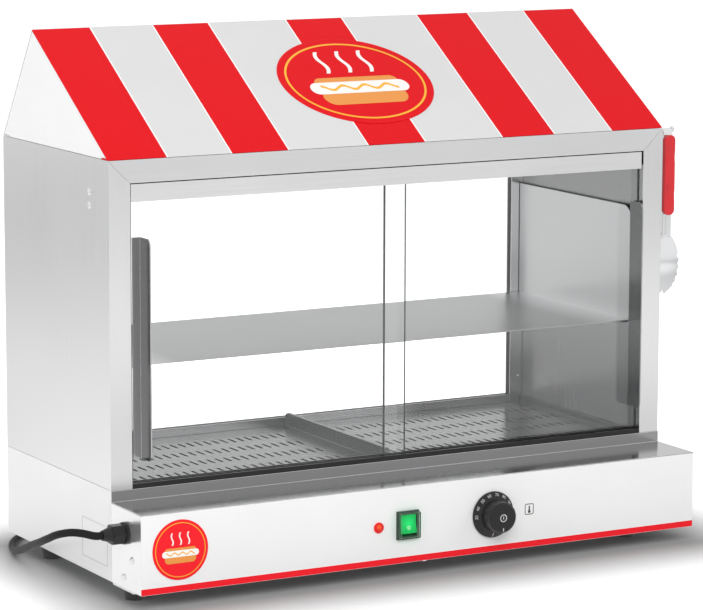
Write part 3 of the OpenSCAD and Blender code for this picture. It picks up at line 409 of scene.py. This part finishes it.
def front_enamel():
    """White enamel with a red stripe at its foot and the lamps' glow painted on it. The ends are bare
    metal.
    """
    material, tree, shader, tone = gloss_parts("front_enamel", WHITE, 0.2, drift=0.05,
                                               specular=0.2)
    _, y, z = split_axes(tree, object_place(tree))
    low = band_mask(tree, z, *(at(0, 0, level).z for level in FRONT_STRIPE))
    front = math_node(tree, "LESS_THAN", y, at(0, FRONT_ONLY_Y, 0).y)
    # Painted light: near the switch and the lamp the panel takes on their colours
    for place, reach, glow, most in PANEL_PAINTED_GLOWS:
        near = math_node(tree, "MULTIPLY", closeness(tree, place, reach), most)
        tone = mix_colour(tree, near, tone, glow)
    tone = mix_colour(tree, math_node(tree, "MULTIPLY", low, front), tone, STRIPE_RED)
    join(tree, mix_colour(tree, front, BARE_METAL, tone), shader.inputs["Base Color"])
    bare = math_node(tree, "SUBTRACT", 1.0, front)
    join(tree, math_node(tree, "MULTIPLY", bare, 0.86), shader.inputs["Metallic"])
    return material


def ground_ends(tree, result):
    """Frosted finish on all faces but the pane's two large ones."""
    edge = tree.nodes.new("ShaderNodeBsdfPrincipled")
    set_inputs(edge, Roughness=0.5, Base_Color=(*shade(66, 74, 70), 1))
    facing = tree.nodes.new("ShaderNodeTexCoord").outputs["Normal"]
    side = math_node(tree, "ABSOLUTE", split_axes(tree, facing)[1], 0.5)
    return mix_shader(tree, math_node(tree, "LESS_THAN", side, 0.5), result, edge.outputs[0])


def clear_pane(name, tint, bend, ground=False, lit=0.0):
    """Clear pane that lets lamp light through. Its folds may have a glow painted on them, for lamp
    light caught there.
    """
    material, tree, shader = new_material(name)
    group = place_group(tree, DRIFT, Ripple=60.0)
    set_inputs(shader, Roughness=0.0, IOR=bend, Transmission_Weight=1.0)
    join(tree, mix_colour(tree, group.outputs["Mask"], tuple(c * 0.985 for c in tint), tint),
         shader.inputs["Base Color"])
    # Painted glow: the folds give off light of their own
    if lit:
        folds = place_group(tree, FOLD, Radius=0.0005).outputs["Light"]
        folds = math_node(tree, "MULTIPLY", folds, lit)
        glow = mix_colour(tree, folds, (0.0, 0.0, 0.0), (0.62, 0.85, 0.68))
        join(tree, glow, shader.inputs["Emission Color"])
        set_inputs(shader, Emission_Strength=1.0)
    clear = tree.nodes.new("ShaderNodeBsdfTransparent")
    clear.inputs[0].default_value = (*tint, 1)
    path = tree.nodes.new("ShaderNodeLightPath").outputs
    passed = math_node(tree, "MAXIMUM", path["Is Shadow Ray"], path["Is Diffuse Ray"])
    mirrored = math_node(tree, "SUBTRACT", path["Is Glossy Ray"], path["Is Transmission Ray"], True)
    passed = math_node(tree, "MAXIMUM", passed, mirrored)
    result = mix_shader(tree, passed, shader.outputs[0], clear.outputs[0])
    if ground:
        result = ground_ends(tree, result)
    out = next(n for n in tree.nodes if n.type == "OUTPUT_MATERIAL")
    join(tree, result, out.inputs[0])
    return material


def lit_plastic(name, colour, glow, strength, centre, reach, ring=None):
    """Coloured plastic lit from inside, brightest round a point. It may have a small printed ring."""
    material, tree, shader, _ = gloss_parts(name, colour, 0.12, specular=0.3)
    lit = mix_colour(tree, closeness(tree, centre, reach), colour, glow)
    if ring:
        x, _, z = split_axes(tree, object_place(tree))
        across = math_node(tree, "SUBTRACT", x, ring.x)
        up = math_node(tree, "SUBTRACT", z, ring.z)
        square = math_node(tree, "ADD", math_node(tree, "MULTIPLY", across, across),
                           math_node(tree, "MULTIPLY", up, up))
        print_mask = band_mask(tree, math_node(tree, "SQRT", square, 0.5), 0.0010, 0.0016)
        lit = mix_colour(tree, print_mask, lit, (0.85, 1.0, 0.9))
    join(tree, lit, shader.inputs["Emission Color"])
    set_inputs(shader, Emission_Strength=strength)
    return material


def dress(material, *nodes):
    """Gives the material to these nodes of the CAD model."""
    for name in nodes:
        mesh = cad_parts[name].data
        mesh.materials.clear()
        mesh.materials.append(material)
    return material


UP_LINES = (900, 900, 12)       # grain that runs up
ALONG_LINES = (10, 900, 900)    # grain that runs along the width
BACK_LINES = (900, 10, 900)     # grain that runs front to back
ZINC_GRAIN = (60, 60, 60)       # no direction

# Cabinet sheets
dress(brushed_sheet("side_sheet", shade(229, 229, 229), 0.3, UP_LINES, 0.05),
      "cabinet_left_panel", "cabinet_right_panel")
dress(brushed_sheet("frame_upright", shade(226, 226, 227), 0.2, UP_LINES, 0.04),
      "left_stile", "right_stile", "rear_posts")
dress(brushed_sheet("frame_rail", shade(226, 226, 227), 0.2, ALONG_LINES, 0.04),
      "top_rail", "rear_rails")
dress(brushed_sheet("cover_strip", shade(232, 232, 232), 0.2, ALONG_LINES, 0.04),
      "header_cover")
# Painted shade: the steel inside the cabinet is given darker colours than the outer steel
dress(brushed_sheet("inner_sheet", shade(166, 166, 167), 0.25, UP_LINES, 0.01, fold=0.3, relief=0.0),
      "inner_left_wall", "inner_right_wall", "ceiling_panel", "shelf_rails")
dress(brushed_sheet("tray_sheet", shade(116, 117, 118), 0.24, ALONG_LINES, 0.01, fold=0.4,
                    relief=0.0),
      "left_tray", "right_tray")
dress(brushed_sheet("shelf_sheet", shade(153, 153, 154), 0.34, ALONG_LINES, 0.01, fold=0.3,
                    relief=0.0, lit_end_colour=shade(222, 222, 223)),
      "shelf")
dress(brushed_sheet("pull_sheet", shade(178, 178, 179), 0.2, UP_LINES, 0.03),
      "left_door_pull")
# Painted shade: the right pull is the left pull's steel made darker
dress(brushed_sheet("right_pull_shaded_sheet", shade(128, 128, 129), 0.2, UP_LINES, 0.03),
      "right_door_pull")
# Painted shade: the control top's steel is darker than the cabinet's outer steel
dress(brushed_sheet("sill_sheet", shade(164, 164, 165), 0.16, ALONG_LINES, 0.02),
      "control_top")

# Other metal
dress(brushed_sheet("tongs_steel", shade(228, 229, 230), 0.18, UP_LINES, 0.02, 0.0002),
      "tongs_front_arm", "tongs_rear_arm")
polished = dress(brushed_sheet("polished", shade(226, 227, 228), 0.1, BACK_LINES, 0.02, 0.0002),
                 "pan_screws", "tongs_hook", "tongs_bow")
# Painted shade: the tank is made near black, so that its inside reads dark through the tray slots
dress(brushed_sheet("tank_sheet_shaded", shade(52, 52, 54), 0.45, ALONG_LINES, 0.08, fold=0),
      "water_tank", "tank_sides", "tank_deck")
dress(brushed_sheet("zinc", shade(150, 152, 154), 0.42, ZINC_GRAIN, 0.25),
      "base_floor", "heating_element", "level_probe", "thermostat_body", "thermostat_shaft")
dress(brushed_sheet("copper_tube", shade(200, 130, 95), 0.3, ALONG_LINES, 0.1),
      "thermostat_bulb")

# Paint
dress(roof_enamel(), "roof_panel")
dress(front_enamel(), "control_panel")
dress(gloss("base_paint", WHITE, 0.25, drift=0.04, specular=0.4),
      "base_left_panel", "base_right_panel", "base_rear_panel", "service_cover")
dress(gloss("gable_paint", shade(240, 240, 240), 0.3, drift=0.04, specular=0.2),
      "left_gable", "right_gable")

# Plastic and rubber
dress(gloss("black_moulding", shade(20, 20, 21), 0.24, 900.0, 0.12, 0.1, specular=0.4),
      "cable_gland", "mains_plug")
dress(gloss("knob_moulding", shade(18, 18, 19), 0.32, 1400.0, 0.12, 0.2, specular=0.4),
      "thermostat_knob")
dress(gloss("track_moulding", shade(24, 24, 25), 0.36, 500.0, 0.1, 0.1),
      "bottom_track", "top_track")
dress(gloss("foot_rubber", shade(30, 30, 31), 0.55, 1200.0, 0.1, 0.25),
      "feet")
cord_rubber = dress(gloss("cord_rubber", shade(34, 34, 35), 0.55, 600.0, 0.12, 0.2, specular=0.08),
                    "power_cord", "cord_coil", "plug_lead")
dress(gloss("gasket_rubber", shade(92, 92, 94), 0.5, 900.0, specular=0.3),
      "rear_gasket")
dress(gloss("ivory", shade(226, 219, 198), 0.45),
      "terminal_block")
dress(gloss("switch_moulding", shade(14, 42, 28), 0.3, 900.0, 0.1, 0.05),
      "switch_body")
dress(gloss("grip_plastic", shade(208, 34, 42), 0.26, 900.0, 0.1, 0.08),
      "tongs_front_grip", "tongs_rear_grip")

# Glass and lamps
dress(clear_pane("clear_pane", (0.994, 0.998, 0.996), 1.45, ground=True),
      "left_door_glass", "right_door_glass", "rear_glass")
dress(clear_pane("hood", (0.9, 0.99, 0.93), 1.12, lit=0.5),
      "switch_cover")
dress(lit_plastic("rocker_light", shade(0, 120, 52), shade(30, 240, 130), 0.8, SWITCH_MID, 0.015,
                  ring=at(266.5, 0, 48.2)),
      "switch_rocker")
# The lens glows as a lamp; its bright orange spot, off its middle, is a painted highlight
dress(lit_plastic("lens_light", shade(170, 4, 2), shade(255, 176, 60), 0.9, LAMP_BRIGHT_SPOT, 0.0045),
      "indicator_lamp")

# Inks
ink_red = gloss("ink_red", STRIPE_RED, 0.3, specular=0.25)
ink_roof_red = gloss("ink_roof_red", SIGNAL_RED, 0.32, specular=0.1)
ink_yellow = gloss("ink_yellow", shade(252, 182, 52), 0.3, specular=0.25)
ink_white = gloss("ink_white", shade(246, 244, 240), 0.3, specular=0.25)
ink_brown = gloss("ink_brown", shade(232, 150, 70), 0.3, specular=0.25)
ink_dark = gloss("ink_dark", shade(50, 50, 52), 0.4)
ink_pale = gloss("ink_pale", shade(214, 214, 214), 0.5)
ink_grey = gloss("ink_grey", shade(176, 176, 178), 0.4)


# Mains cord

CORD_ROUTE = [
    (-23, -30, 65.5), (-30, -30, 66), (-39, -27, 68.5), (-47, -20, 69), (-52, -10, 66.5),
    (-54, 2, 62.5), (-53.5, 15, 57.5), (-51.5, 30, 52.5), (-48.5, 45, 47.5), (-45, 60, 43),
    (-41.5, 75, 38.5), (-38, 90, 34), (-34, 105, 29), (-30, 120, 24.5), (-26, 135, 20),
    (-22, 150, 15.5), (-18, 165, 11.5), (-14, 180, 7.5), (-10, 193, 5), (-6, 205, 3.8),
    (-2, 217, 3.5), (4, 229, 3.5), (12, 240, 3.5), (21, 250, 3.5), (32, 258, 3.5), (44, 263, 3.5),
    (57, 265, 3.5), (70, 265, 3.5), (85, 265, 3.5), (100, 265, 3.5), (112, 265, 3.5),
]
COIL_X, COIL_Y, COIL_PITCH, COIL_RADIUS, COIL_TURNS = 130, 310, 7.5, 45, 1.75
COIL_SWING = COIL_TURNS + 0.25      # turn where the coil starts to widen again, a layer up
COIL_STEPS = 24
CORD_D = 7.0
PLUG_Z = 18
LEAD_STEPS, LEAD_STEP = 9, 8
SMOOTH_STEPS = 3


def coil_point(turn):
    radius = COIL_RADIUS - COIL_PITCH * (COIL_SWING - abs(COIL_SWING - turn))
    height = CORD_D / 2 + COIL_PITCH * min(1, max(0, (turn - COIL_TURNS) * 2))
    angle = 2 * math.pi * turn
    return (COIL_X + radius * math.sin(angle), COIL_Y - radius * math.cos(angle), height)


def lead_points():
    """From the coil's end up to the plug, straight at both ends."""
    x, y, z = coil_point(2 * COIL_SWING)
    points = []
    for i in range(LEAD_STEPS):
        s = min(1, max(0, (i - 1) / 6))
        points.append((x + CORD_D + LEAD_STEP * i, y, z + (PLUG_Z - z) * s * s * (3 - 2 * s)))
    return points


def cord_line():
    """The whole centreline, smoothed through the route's points."""
    start = coil_point(0)
    points = CORD_ROUTE + [(start[0] - CORD_D, start[1], start[2])]
    points += [coil_point(i / COIL_STEPS) for i in range(int(2 * COIL_SWING * COIL_STEPS) + 1)]
    points += lead_points()
    p = [at(*q) for q in points]
    line = []
    for i in range(len(p) - 1):
        a, b, c, d = p[max(i - 1, 0)], p[i], p[i + 1], p[min(i + 2, len(p) - 1)]
        for k in range(SMOOTH_STEPS):
            t = k / SMOOTH_STEPS
            line.append(0.5 * ((2 * b) + (c - a) * t + (2 * a - 5 * b + 4 * c - d) * t * t
                               + (3 * b - a - 3 * c + d) * t ** 3))
    line.append(p[-1])
    return line


def lay_cord():
    line = cord_line()
    curve = bpy.data.curves.new("mains_cord", "CURVE")
    curve.dimensions = "3D"
    curve.bevel_depth = CORD_D / 2 * MM
    curve.bevel_resolution = 5
    curve.use_fill_caps = True
    spline = curve.splines.new("POLY")
    spline.points.add(len(line) - 1)
    for point, place in zip(spline.points, line):
        point.co = (*place, 1)
    spline.use_smooth = True
    cord = bpy.data.objects.new("mains_cord", curve)
    bpy.context.scene.collection.objects.link(cord)
    curve.materials.append(cord_rubber)
    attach(cord, "housing")
    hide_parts("power_cord", "cord_coil", "plug_lead")
    length = sum((b - a).length for a, b in zip(line, line[1:]))
    print("cord length", round(length, 3))
    return cord, line[0], length


mains_cord, cord_exit, cord_length = lay_cord()


# Flat pieces: each is drawn at the origin, facing up, then put in its place

QUARTER = Matrix.Rotation(math.radians(90), 4, "Z")
FACE_FRONT = Matrix.Rotation(math.radians(90), 4, "X")
FACE_LEFT = Matrix.Rotation(math.radians(-90), 4, "Z") @ FACE_FRONT
UPRIGHT = FACE_FRONT @ QUARTER
FLAT = 0.9          # a face counts as facing up above this
OFF_FACE = 0.01     # printed marks stand this far off their surface, mm


def select_faces(piece, test):
    """Selects the faces that pass the test. Leaves edit mode on."""
    bpy.ops.object.mode_set(mode="OBJECT")
    bpy.context.tool_settings.mesh_select_mode = (False, False, True)
    for items in (piece.data.vertices, piece.data.edges):
        for item in items:
            item.select = False
    for face in piece.data.polygons:
        face.select = test(face)
    bpy.ops.object.mode_set(mode="EDIT")
    bpy.ops.mesh.select_mode(type="FACE")


def thicken(thick):
    """Draws the selected sheet up by that many millimetres and closes it. Leaves edit mode."""
    bpy.ops.mesh.extrude_region_move(TRANSFORM_OT_translate={"value": (0, 0, thick * MM)})
    bpy.ops.mesh.select_all(action="SELECT")
    bpy.ops.mesh.normals_make_consistent(inside=False)
    bpy.ops.object.mode_set(mode="OBJECT")


def open_sheet(name, width, height):
    """Names the sheet just added and sizes it. Leaves edit mode on, with all of it selected."""
    piece = bpy.context.object
    piece.name = piece.data.name = name
    bpy.ops.object.mode_set(mode="EDIT")
    bpy.ops.mesh.select_all(action="SELECT")
    bpy.ops.transform.resize(value=(width * MM, height * MM, 1))
    return piece


def disc(name, width, height, thick, corners=96):
    """Oval disc."""
    deselect()
    bpy.ops.mesh.primitive_circle_add(vertices=corners, radius=0.5, fill_type="NGON")
    piece = open_sheet(name, width, height)
    thicken(thick)
    return piece


def bar(name, length, width, thick, corners=40):
    """Bar with round ends that lies along X."""
    piece = disc(name, width, width, thick, corners)
    for vertex in piece.data.vertices:
        vertex.co.x += (length - width) / 2 * MM * (1 if vertex.co.x > 1e-6 else -1)
    return piece


def wave(name, length, rise, wide, thick, turns, steps=36):
    """Wavy ribbon along X."""
    deselect()
    bpy.ops.mesh.primitive_grid_add(x_subdivisions=steps, y_subdivisions=1, size=1)
    piece = open_sheet(name, length, wide)
    thicken(thick)
    for vertex in piece.data.vertices:
        vertex.co.y += rise * MM * math.sin(2 * math.pi * turns * vertex.co.x / (length * MM))
    return piece


def outline(name, width, height, corner, line, thick=0.06):
    """Frame with rounded corners."""
    deselect()
    bpy.ops.mesh.primitive_plane_add(size=1)
    piece = open_sheet(name, width, height)
    bpy.ops.mesh.bevel(offset=corner * MM, segments=6, affect="VERTICES")
    bpy.ops.mesh.select_all(action="SELECT")
    bpy.ops.mesh.inset(thickness=line * MM, depth=0)
    bpy.ops.mesh.delete(type="FACE")
    bpy.ops.mesh.select_all(action="SELECT")
    thicken(thick)
    return piece


def oval_ring(name, width, height, line, thick):
    """Oval disc with a thin ring left of its faces."""
    piece = disc(name, width, height, thick)
    make_active(piece)
    select_faces(piece, lambda face: abs(face.normal.z) > FLAT)
    bpy.ops.mesh.inset(thickness=line * MM, depth=0)
    bpy.ops.mesh.delete(type="FACE")
    bpy.ops.object.mode_set(mode="OBJECT")
    return piece


def lettering(name, text, size, thick=0.05):
    """Plain figures."""
    deselect()
    bpy.ops.object.text_add()
    piece = bpy.context.object
    piece.data.body = text
    piece.data.size = size * MM
    piece.data.extrude = thick * MM
    piece.data.align_x, piece.data.align_y = "CENTER", "CENTER"
    piece.data.resolution_u = 4
    bpy.ops.object.convert(target="MESH")
    piece = bpy.context.object
    piece.name = piece.data.name = name
    return piece


def finish_piece(piece, material, body):
    """Puts the piece's place into its mesh, smooths it and makes it ride."""
    make_active(piece)
    bpy.ops.object.transform_apply(location=True, rotation=True, scale=True)
    bpy.ops.object.shade_smooth_by_angle(angle=math.radians(30))
    piece.data.materials.clear()
    piece.data.materials.append(material)
    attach(piece, body)
    piece.select_set(False)


def put(piece, place, turn, material, body):
    """Turns and places a flat piece, then finishes it."""
    piece.matrix_world = Matrix.Translation(place) @ turn @ piece.matrix_world
    finish_piece(piece, material, body)


# Signs

SIGN_DRAWN_W = 163      # width that the sign's sizes are drawn for
SIGN_THICK = 0.35
INK_LIFT = 0.36         # ink over the sign's back, then each layer over the last
SAUSAGE_LIFT, MUSTARD_LIFT = 0.5, 0.64
# Part, length, width, height over the middle, ink and lift
SIGN_BARS = (("bun_low", 92, 24, -24, ink_brown, INK_LIFT),
             ("sausage", 108, 18, -10, ink_white, SAUSAGE_LIFT),
             ("bun_high", 92, 16, -2, ink_brown, INK_LIFT))
STEAM_X, STEAM_Y = (-24, 0, 24), 30
MUSTARD_Y = -10


def medallion(name, width, height, place, ground):
    """Plain oval sign: red, with a thin yellow line, a bun with its sausage, and steam."""
    k = width / SIGN_DRAWN_W
    parts = [
        (disc(name + "_plate", width, height, SIGN_THICK), ground, 0, 0, 0),
        (oval_ring(name + "_line", width - 15 * k, height - 15 * k, 2.2 * k, 0.12),
         ink_yellow, 0, 0, INK_LIFT)]
    for tag, length, wide, up, ink, lift in SIGN_BARS:
        parts.append((bar(name + "_" + tag, length * k, wide * k, 0.14), ink, 0, up, lift))
    parts.append((wave(name + "_mustard", 84 * k, 3.2 * k, 3.4 * k, 0.12, 3.5),
                  ink_yellow, 0, MUSTARD_Y, MUSTARD_LIFT))
    for i, x in enumerate(STEAM_X):
        steam = wave(f"{name}_steam_{i}", 34 * k, 2.6 * k, 4.2 * k, 0.12, 1.0)
        steam.rotation_euler = (0, 0, math.radians(90))
        parts.append((steam, ink_white, x, STEAM_Y, INK_LIFT))
    for piece, ink, x, y, lift in parts:
        piece.location = (x * k * MM, y * k * MM, lift * MM)
        bpy.context.view_layer.update()
        piece.matrix_world = place @ piece.matrix_world
        finish_piece(piece, ink, "housing")


ROOF_SIGN_X, ROOF_SIGN_Y = 290, 79
ROOF_PITCH = math.atan2(ROOF_RISE, ROOF_RUN)
roof_middle = at(ROOF_SIGN_X, ROOF_SIGN_Y, EAVE_Z + ROOF_SIGN_Y * ROOF_RISE / ROOF_RUN)
medallion("roof_sign", 156, 128,
          Matrix.Translation(roof_middle) @ Matrix.Rotation(ROOF_PITCH, 4, "X"), ink_roof_red)
medallion("front_sign", 54, 54, Matrix.Translation(at(37.8, CONTROL_FACE, 52.7)) @ FACE_FRONT,
          ink_red)


# Dial: figures on the slope of the skirt, a tick on skirt and cap, and a ring on the cap

KNOB_X, KNOB_Z = 357, 50.5
KNOB_BACK, CAP_FRONT = -61.8, -81
SKIRT_EDGE, SKIRT_R = 1.4, 21.5
SLOPE_IN, SLOPE_OUT = 5.7, 3.1      # how far the skirt slopes in and towards the front
SKIRT_SLOPE = math.atan2(SLOPE_OUT, SLOPE_IN)
DIAL_START, DIAL_STEP = 268, 25     # degrees, clockwise from the top
DIAL_FIGURES = 9


def on_skirt(radius, clock):
    """Place and turn on the sloping skirt, clockwise from the top in degrees."""
    a = math.radians(clock)
    y = KNOB_BACK - SKIRT_EDGE - (SKIRT_R - radius) / SLOPE_IN * SLOPE_OUT - 2 * OFF_FACE
    along = Vector((math.cos(a), 0, -math.sin(a)))
    out = Vector((math.sin(a) * math.cos(SKIRT_SLOPE), math.sin(SKIRT_SLOPE),
                  math.cos(a) * math.cos(SKIRT_SLOPE)))
    turn = Matrix((along, out, along.cross(out))).transposed().to_4x4()
    return at(KNOB_X + radius * math.sin(a), y, KNOB_Z + radius * math.cos(a)), turn


def on_cap(up):
    return at(KNOB_X, CAP_FRONT - OFF_FACE, KNOB_Z + up)


def mark_knob(piece, place, turn):
    put(piece, place, turn, ink_pale, "knob")


for i in range(DIAL_FIGURES):
    mark_knob(lettering(f"dial_figure_{i}", str(30 + 10 * i), 4.0),
              *on_skirt(18.7, DIAL_START + DIAL_STEP * i))
tick_place, tick_turn = on_skirt(18.6, 184)
mark_knob(bar("skirt_tick", 4.4, 0.9, 0.06), tick_place, tick_turn @ QUARTER)
mark_knob(bar("cap_tick", 3.2, 1.0, 0.05), on_cap(-10.9), UPRIGHT)
mark_knob(outline("cap_ring", 7.2, 7.2, 3.59, 0.8, 0.05), on_cap(0), FACE_FRONT)
mark_knob(bar("cap_mark", 3.0, 0.7, 0.05), on_cap(0.3), UPRIGHT)


# Heat mark beside the dial, and the plain frame of a blank plate on the base's end

HEAT_X, HEAT_Z = 397, 51


def mark_panel(piece, up, turn):
    put(piece, at(HEAT_X, CONTROL_FACE - OFF_FACE, HEAT_Z + up), turn, ink_dark, "housing")


mark_panel(outline("heat_frame", 9.5, 10.3, 1.6, 0.7), 0, FACE_FRONT)
mark_panel(bar("heat_stem", 5.4, 1.4, 0.06), 0.5, UPRIGHT)
mark_panel(disc("heat_bulb", 2.8, 2.8, 0.06, 24), -2.3, FACE_FRONT)
put(outline("plate_frame", 54, 36, 1.2, 0.5), at(-OFF_FACE, 35, 45), FACE_LEFT, ink_grey,
    "housing")


# Screws inside the rear posts

SCREW_D, SCREW_Z = 4.6, 118


def pan_head(name, place):
    """Low domed screw head with a recess, which faces the front."""
    piece = disc(name, SCREW_D, SCREW_D, 1.1, 32)
    make_active(piece)
    select_faces(piece, lambda face: face.normal.z > FLAT)
    bpy.ops.mesh.bevel(offset=0.6 * MM, segments=4, affect="EDGES")
    select_faces(piece, lambda face: face.normal.z > 0.99)
    bpy.ops.mesh.inset(thickness=0.55 * MM, depth=0)
    bpy.ops.mesh.extrude_region_move(TRANSFORM_OT_translate={"value": (0, 0, -0.5 * MM)})
    bpy.ops.object.mode_set(mode="OBJECT")
    put(piece, place, FACE_FRONT, polished, "housing")


for side, x in (("left", 22.5), ("right", 557.5)):
    pan_head(f"{side}_post_screw", at(x, REAR_POST_FRONT, SCREW_Z))


# Studio

WORLD_LIGHT, WORLD_SEEN = 0.42, 1.0
FOOTPRINT_MID, FOOTPRINT_HALF = (0, 0.01, 0), (0.29, 0.1455, 0)
# Paper tone by the distance from the footprint, a painted shadow: in the base's shade, and beyond
FLOOR_UNDER, FLOOR_OPEN = 0.34, 0.95
PAPER_REACH = (-0.01, 0.1)
# Light that the seen paper gives off, near the footprint and far from it
FLOOR_NEAR, FLOOR_FAR = 0.0, 0.75
GLOW_REACH = (-0.02, 0.26)
# What the sheets mirror, painted on the floor: a darker paper, and pools of light as centre, inner
# and outer reach, tone outside
MIRRORED_FLOOR = (0.25, 0.25, 0.25)
FLOOR_POOLS = (((0.7, -1.47, 0), 0.55, 1.25, 0.3), ((-0.5, 0.4, 0), 0.3, 2.1, 0.38))
POOL_TONE = 0.85
# Painted shadow behind the cabinet and painted light on the far floor, both seen only in the sheets
SHADE_BEHIND, SHADE_REACH, SHADE_TONE = (-0.12, 0.82, 0), (0.15, 0.5), 0.15
FAR_REACH, FAR_TONE = (2.6, 4.0), 0.8
# Lamp, place, aim, size and power
LAMPS = (
    ("back_key", (0.1, 1.2, 2.0), (0, -0.1, 0.1), (2.2, 1.4), 14),
    ("front_key", (-0.8, -2.0, 1.6), (0, 0, 0.25), (1.8, 1.2), 35),
    ("right_fill", (1.9, -1.3, 0.9), (0.3, 0, 0.25), (0.9, 0.9), 7),
    ("left_fill", (-2.2, -0.3, 0.8), (0, 0, 0.25), (1.4, 0.9), 13),
)


def make_world():
    world = bpy.data.worlds.new("studio")
    bpy.context.scene.world = world
    world.use_nodes = True
    tree = world.node_tree
    tree.nodes.clear()
    out = tree.nodes.new("ShaderNodeOutputWorld")
    backgrounds = []
    for strength in (WORLD_LIGHT, WORLD_SEEN):
        background = tree.nodes.new("ShaderNodeBackground")
        background.inputs[0].default_value = (1, 1, 1, 1)
        background.inputs[1].default_value = strength
        backgrounds.append(background.outputs[0])
    path = tree.nodes.new("ShaderNodeLightPath").outputs
    seen = math_node(tree, "MAXIMUM", path["Is Camera Ray"], path["Is Glossy Ray"])
    seen = math_node(tree, "MAXIMUM", seen, path["Is Transmission Ray"])
    join(tree, mix_shader(tree, seen, *backgrounds), out.inputs[0])


def make_floor():
    """Paper with a soft shadow painted round the base. The sheets mirror pools of light and a shadow
    painted on it.
    """
    deselect()
    bpy.ops.mesh.primitive_plane_add(size=12)
    floor = bpy.context.object
    floor.name = "studio_floor"
    material, tree, shader = new_material("floor_paper")
    set_inputs(shader, Roughness=0.9, Specular_IOR_Level=0.0, Emission_Color=(1, 1, 1, 1))
    path = tree.nodes.new("ShaderNodeLightPath").outputs
    seen = math_node(tree, "MAXIMUM", path["Is Camera Ray"], path["Is Transmission Ray"])
    mirrored = path["Is Glossy Ray"]
    place = object_place(tree)

    def distance(centre):
        return vector_node(tree, "LENGTH", vector_node(tree, "SUBTRACT", place, centre))

    beside = vector_node(tree, "ABSOLUTE", vector_node(tree, "SUBTRACT", place, FOOTPRINT_MID))
    beside = vector_node(tree, "SUBTRACT", beside, FOOTPRINT_HALF)
    near = vector_node(tree, "LENGTH", vector_node(tree, "MAXIMUM", beside, (0, 0, 0)))
    # Painted shadow: the paper darkens towards the footprint
    paper = mix_colour(tree, smooth_ramp(tree, near, *PAPER_REACH, 0, 1), (FLOOR_UNDER,) * 3,
                       (FLOOR_OPEN,) * 3)
    join(tree, mix_colour(tree, mirrored, paper, MIRRORED_FLOOR), shader.inputs["Base Color"])

    # Painted light and shade that the sheets mirror: pools of light, a shadow behind, a bright far
    # floor
    pool = 0.0
    for centre, low, high, dim in FLOOR_POOLS:
        one = smooth_ramp(tree, distance(centre), low, high, POOL_TONE, dim)
        pool = math_node(tree, "MAXIMUM", pool, one)
    behind = smooth_ramp(tree, distance(SHADE_BEHIND), *SHADE_REACH, SHADE_TONE, 1)
    pool = math_node(tree, "MULTIPLY", pool, behind)
    far = smooth_ramp(tree, vector_node(tree, "LENGTH", place), *FAR_REACH, 0, FAR_TONE)
    pool = math_node(tree, "MAXIMUM", pool, far)
    own = smooth_ramp(tree, near, *GLOW_REACH, FLOOR_NEAR, FLOOR_FAR)
    glow = math_node(tree, "ADD", math_node(tree, "MULTIPLY", mirrored, pool),
                     math_node(tree, "MULTIPLY", seen, own))
    join(tree, glow, shader.inputs["Emission Strength"])
    floor.data.materials.append(material)


def make_softbox(name, place, aim, size, power):
    data = bpy.data.lights.new(name, "AREA")
    data.shape = "RECTANGLE"
    data.size, data.size_y = size
    data.energy = power
    lamp = bpy.data.objects.new(name, data)
    bpy.context.scene.collection.objects.link(lamp)
    lamp.visible_glossy = False
    lamp.location = place
    lamp.rotation_mode = "QUATERNION"
    lamp.rotation_quaternion = (Vector(aim) - Vector(place)).to_track_quat("-Z", "Y")


make_world()
make_floor()
for lamp in LAMPS:
    make_softbox(*lamp)
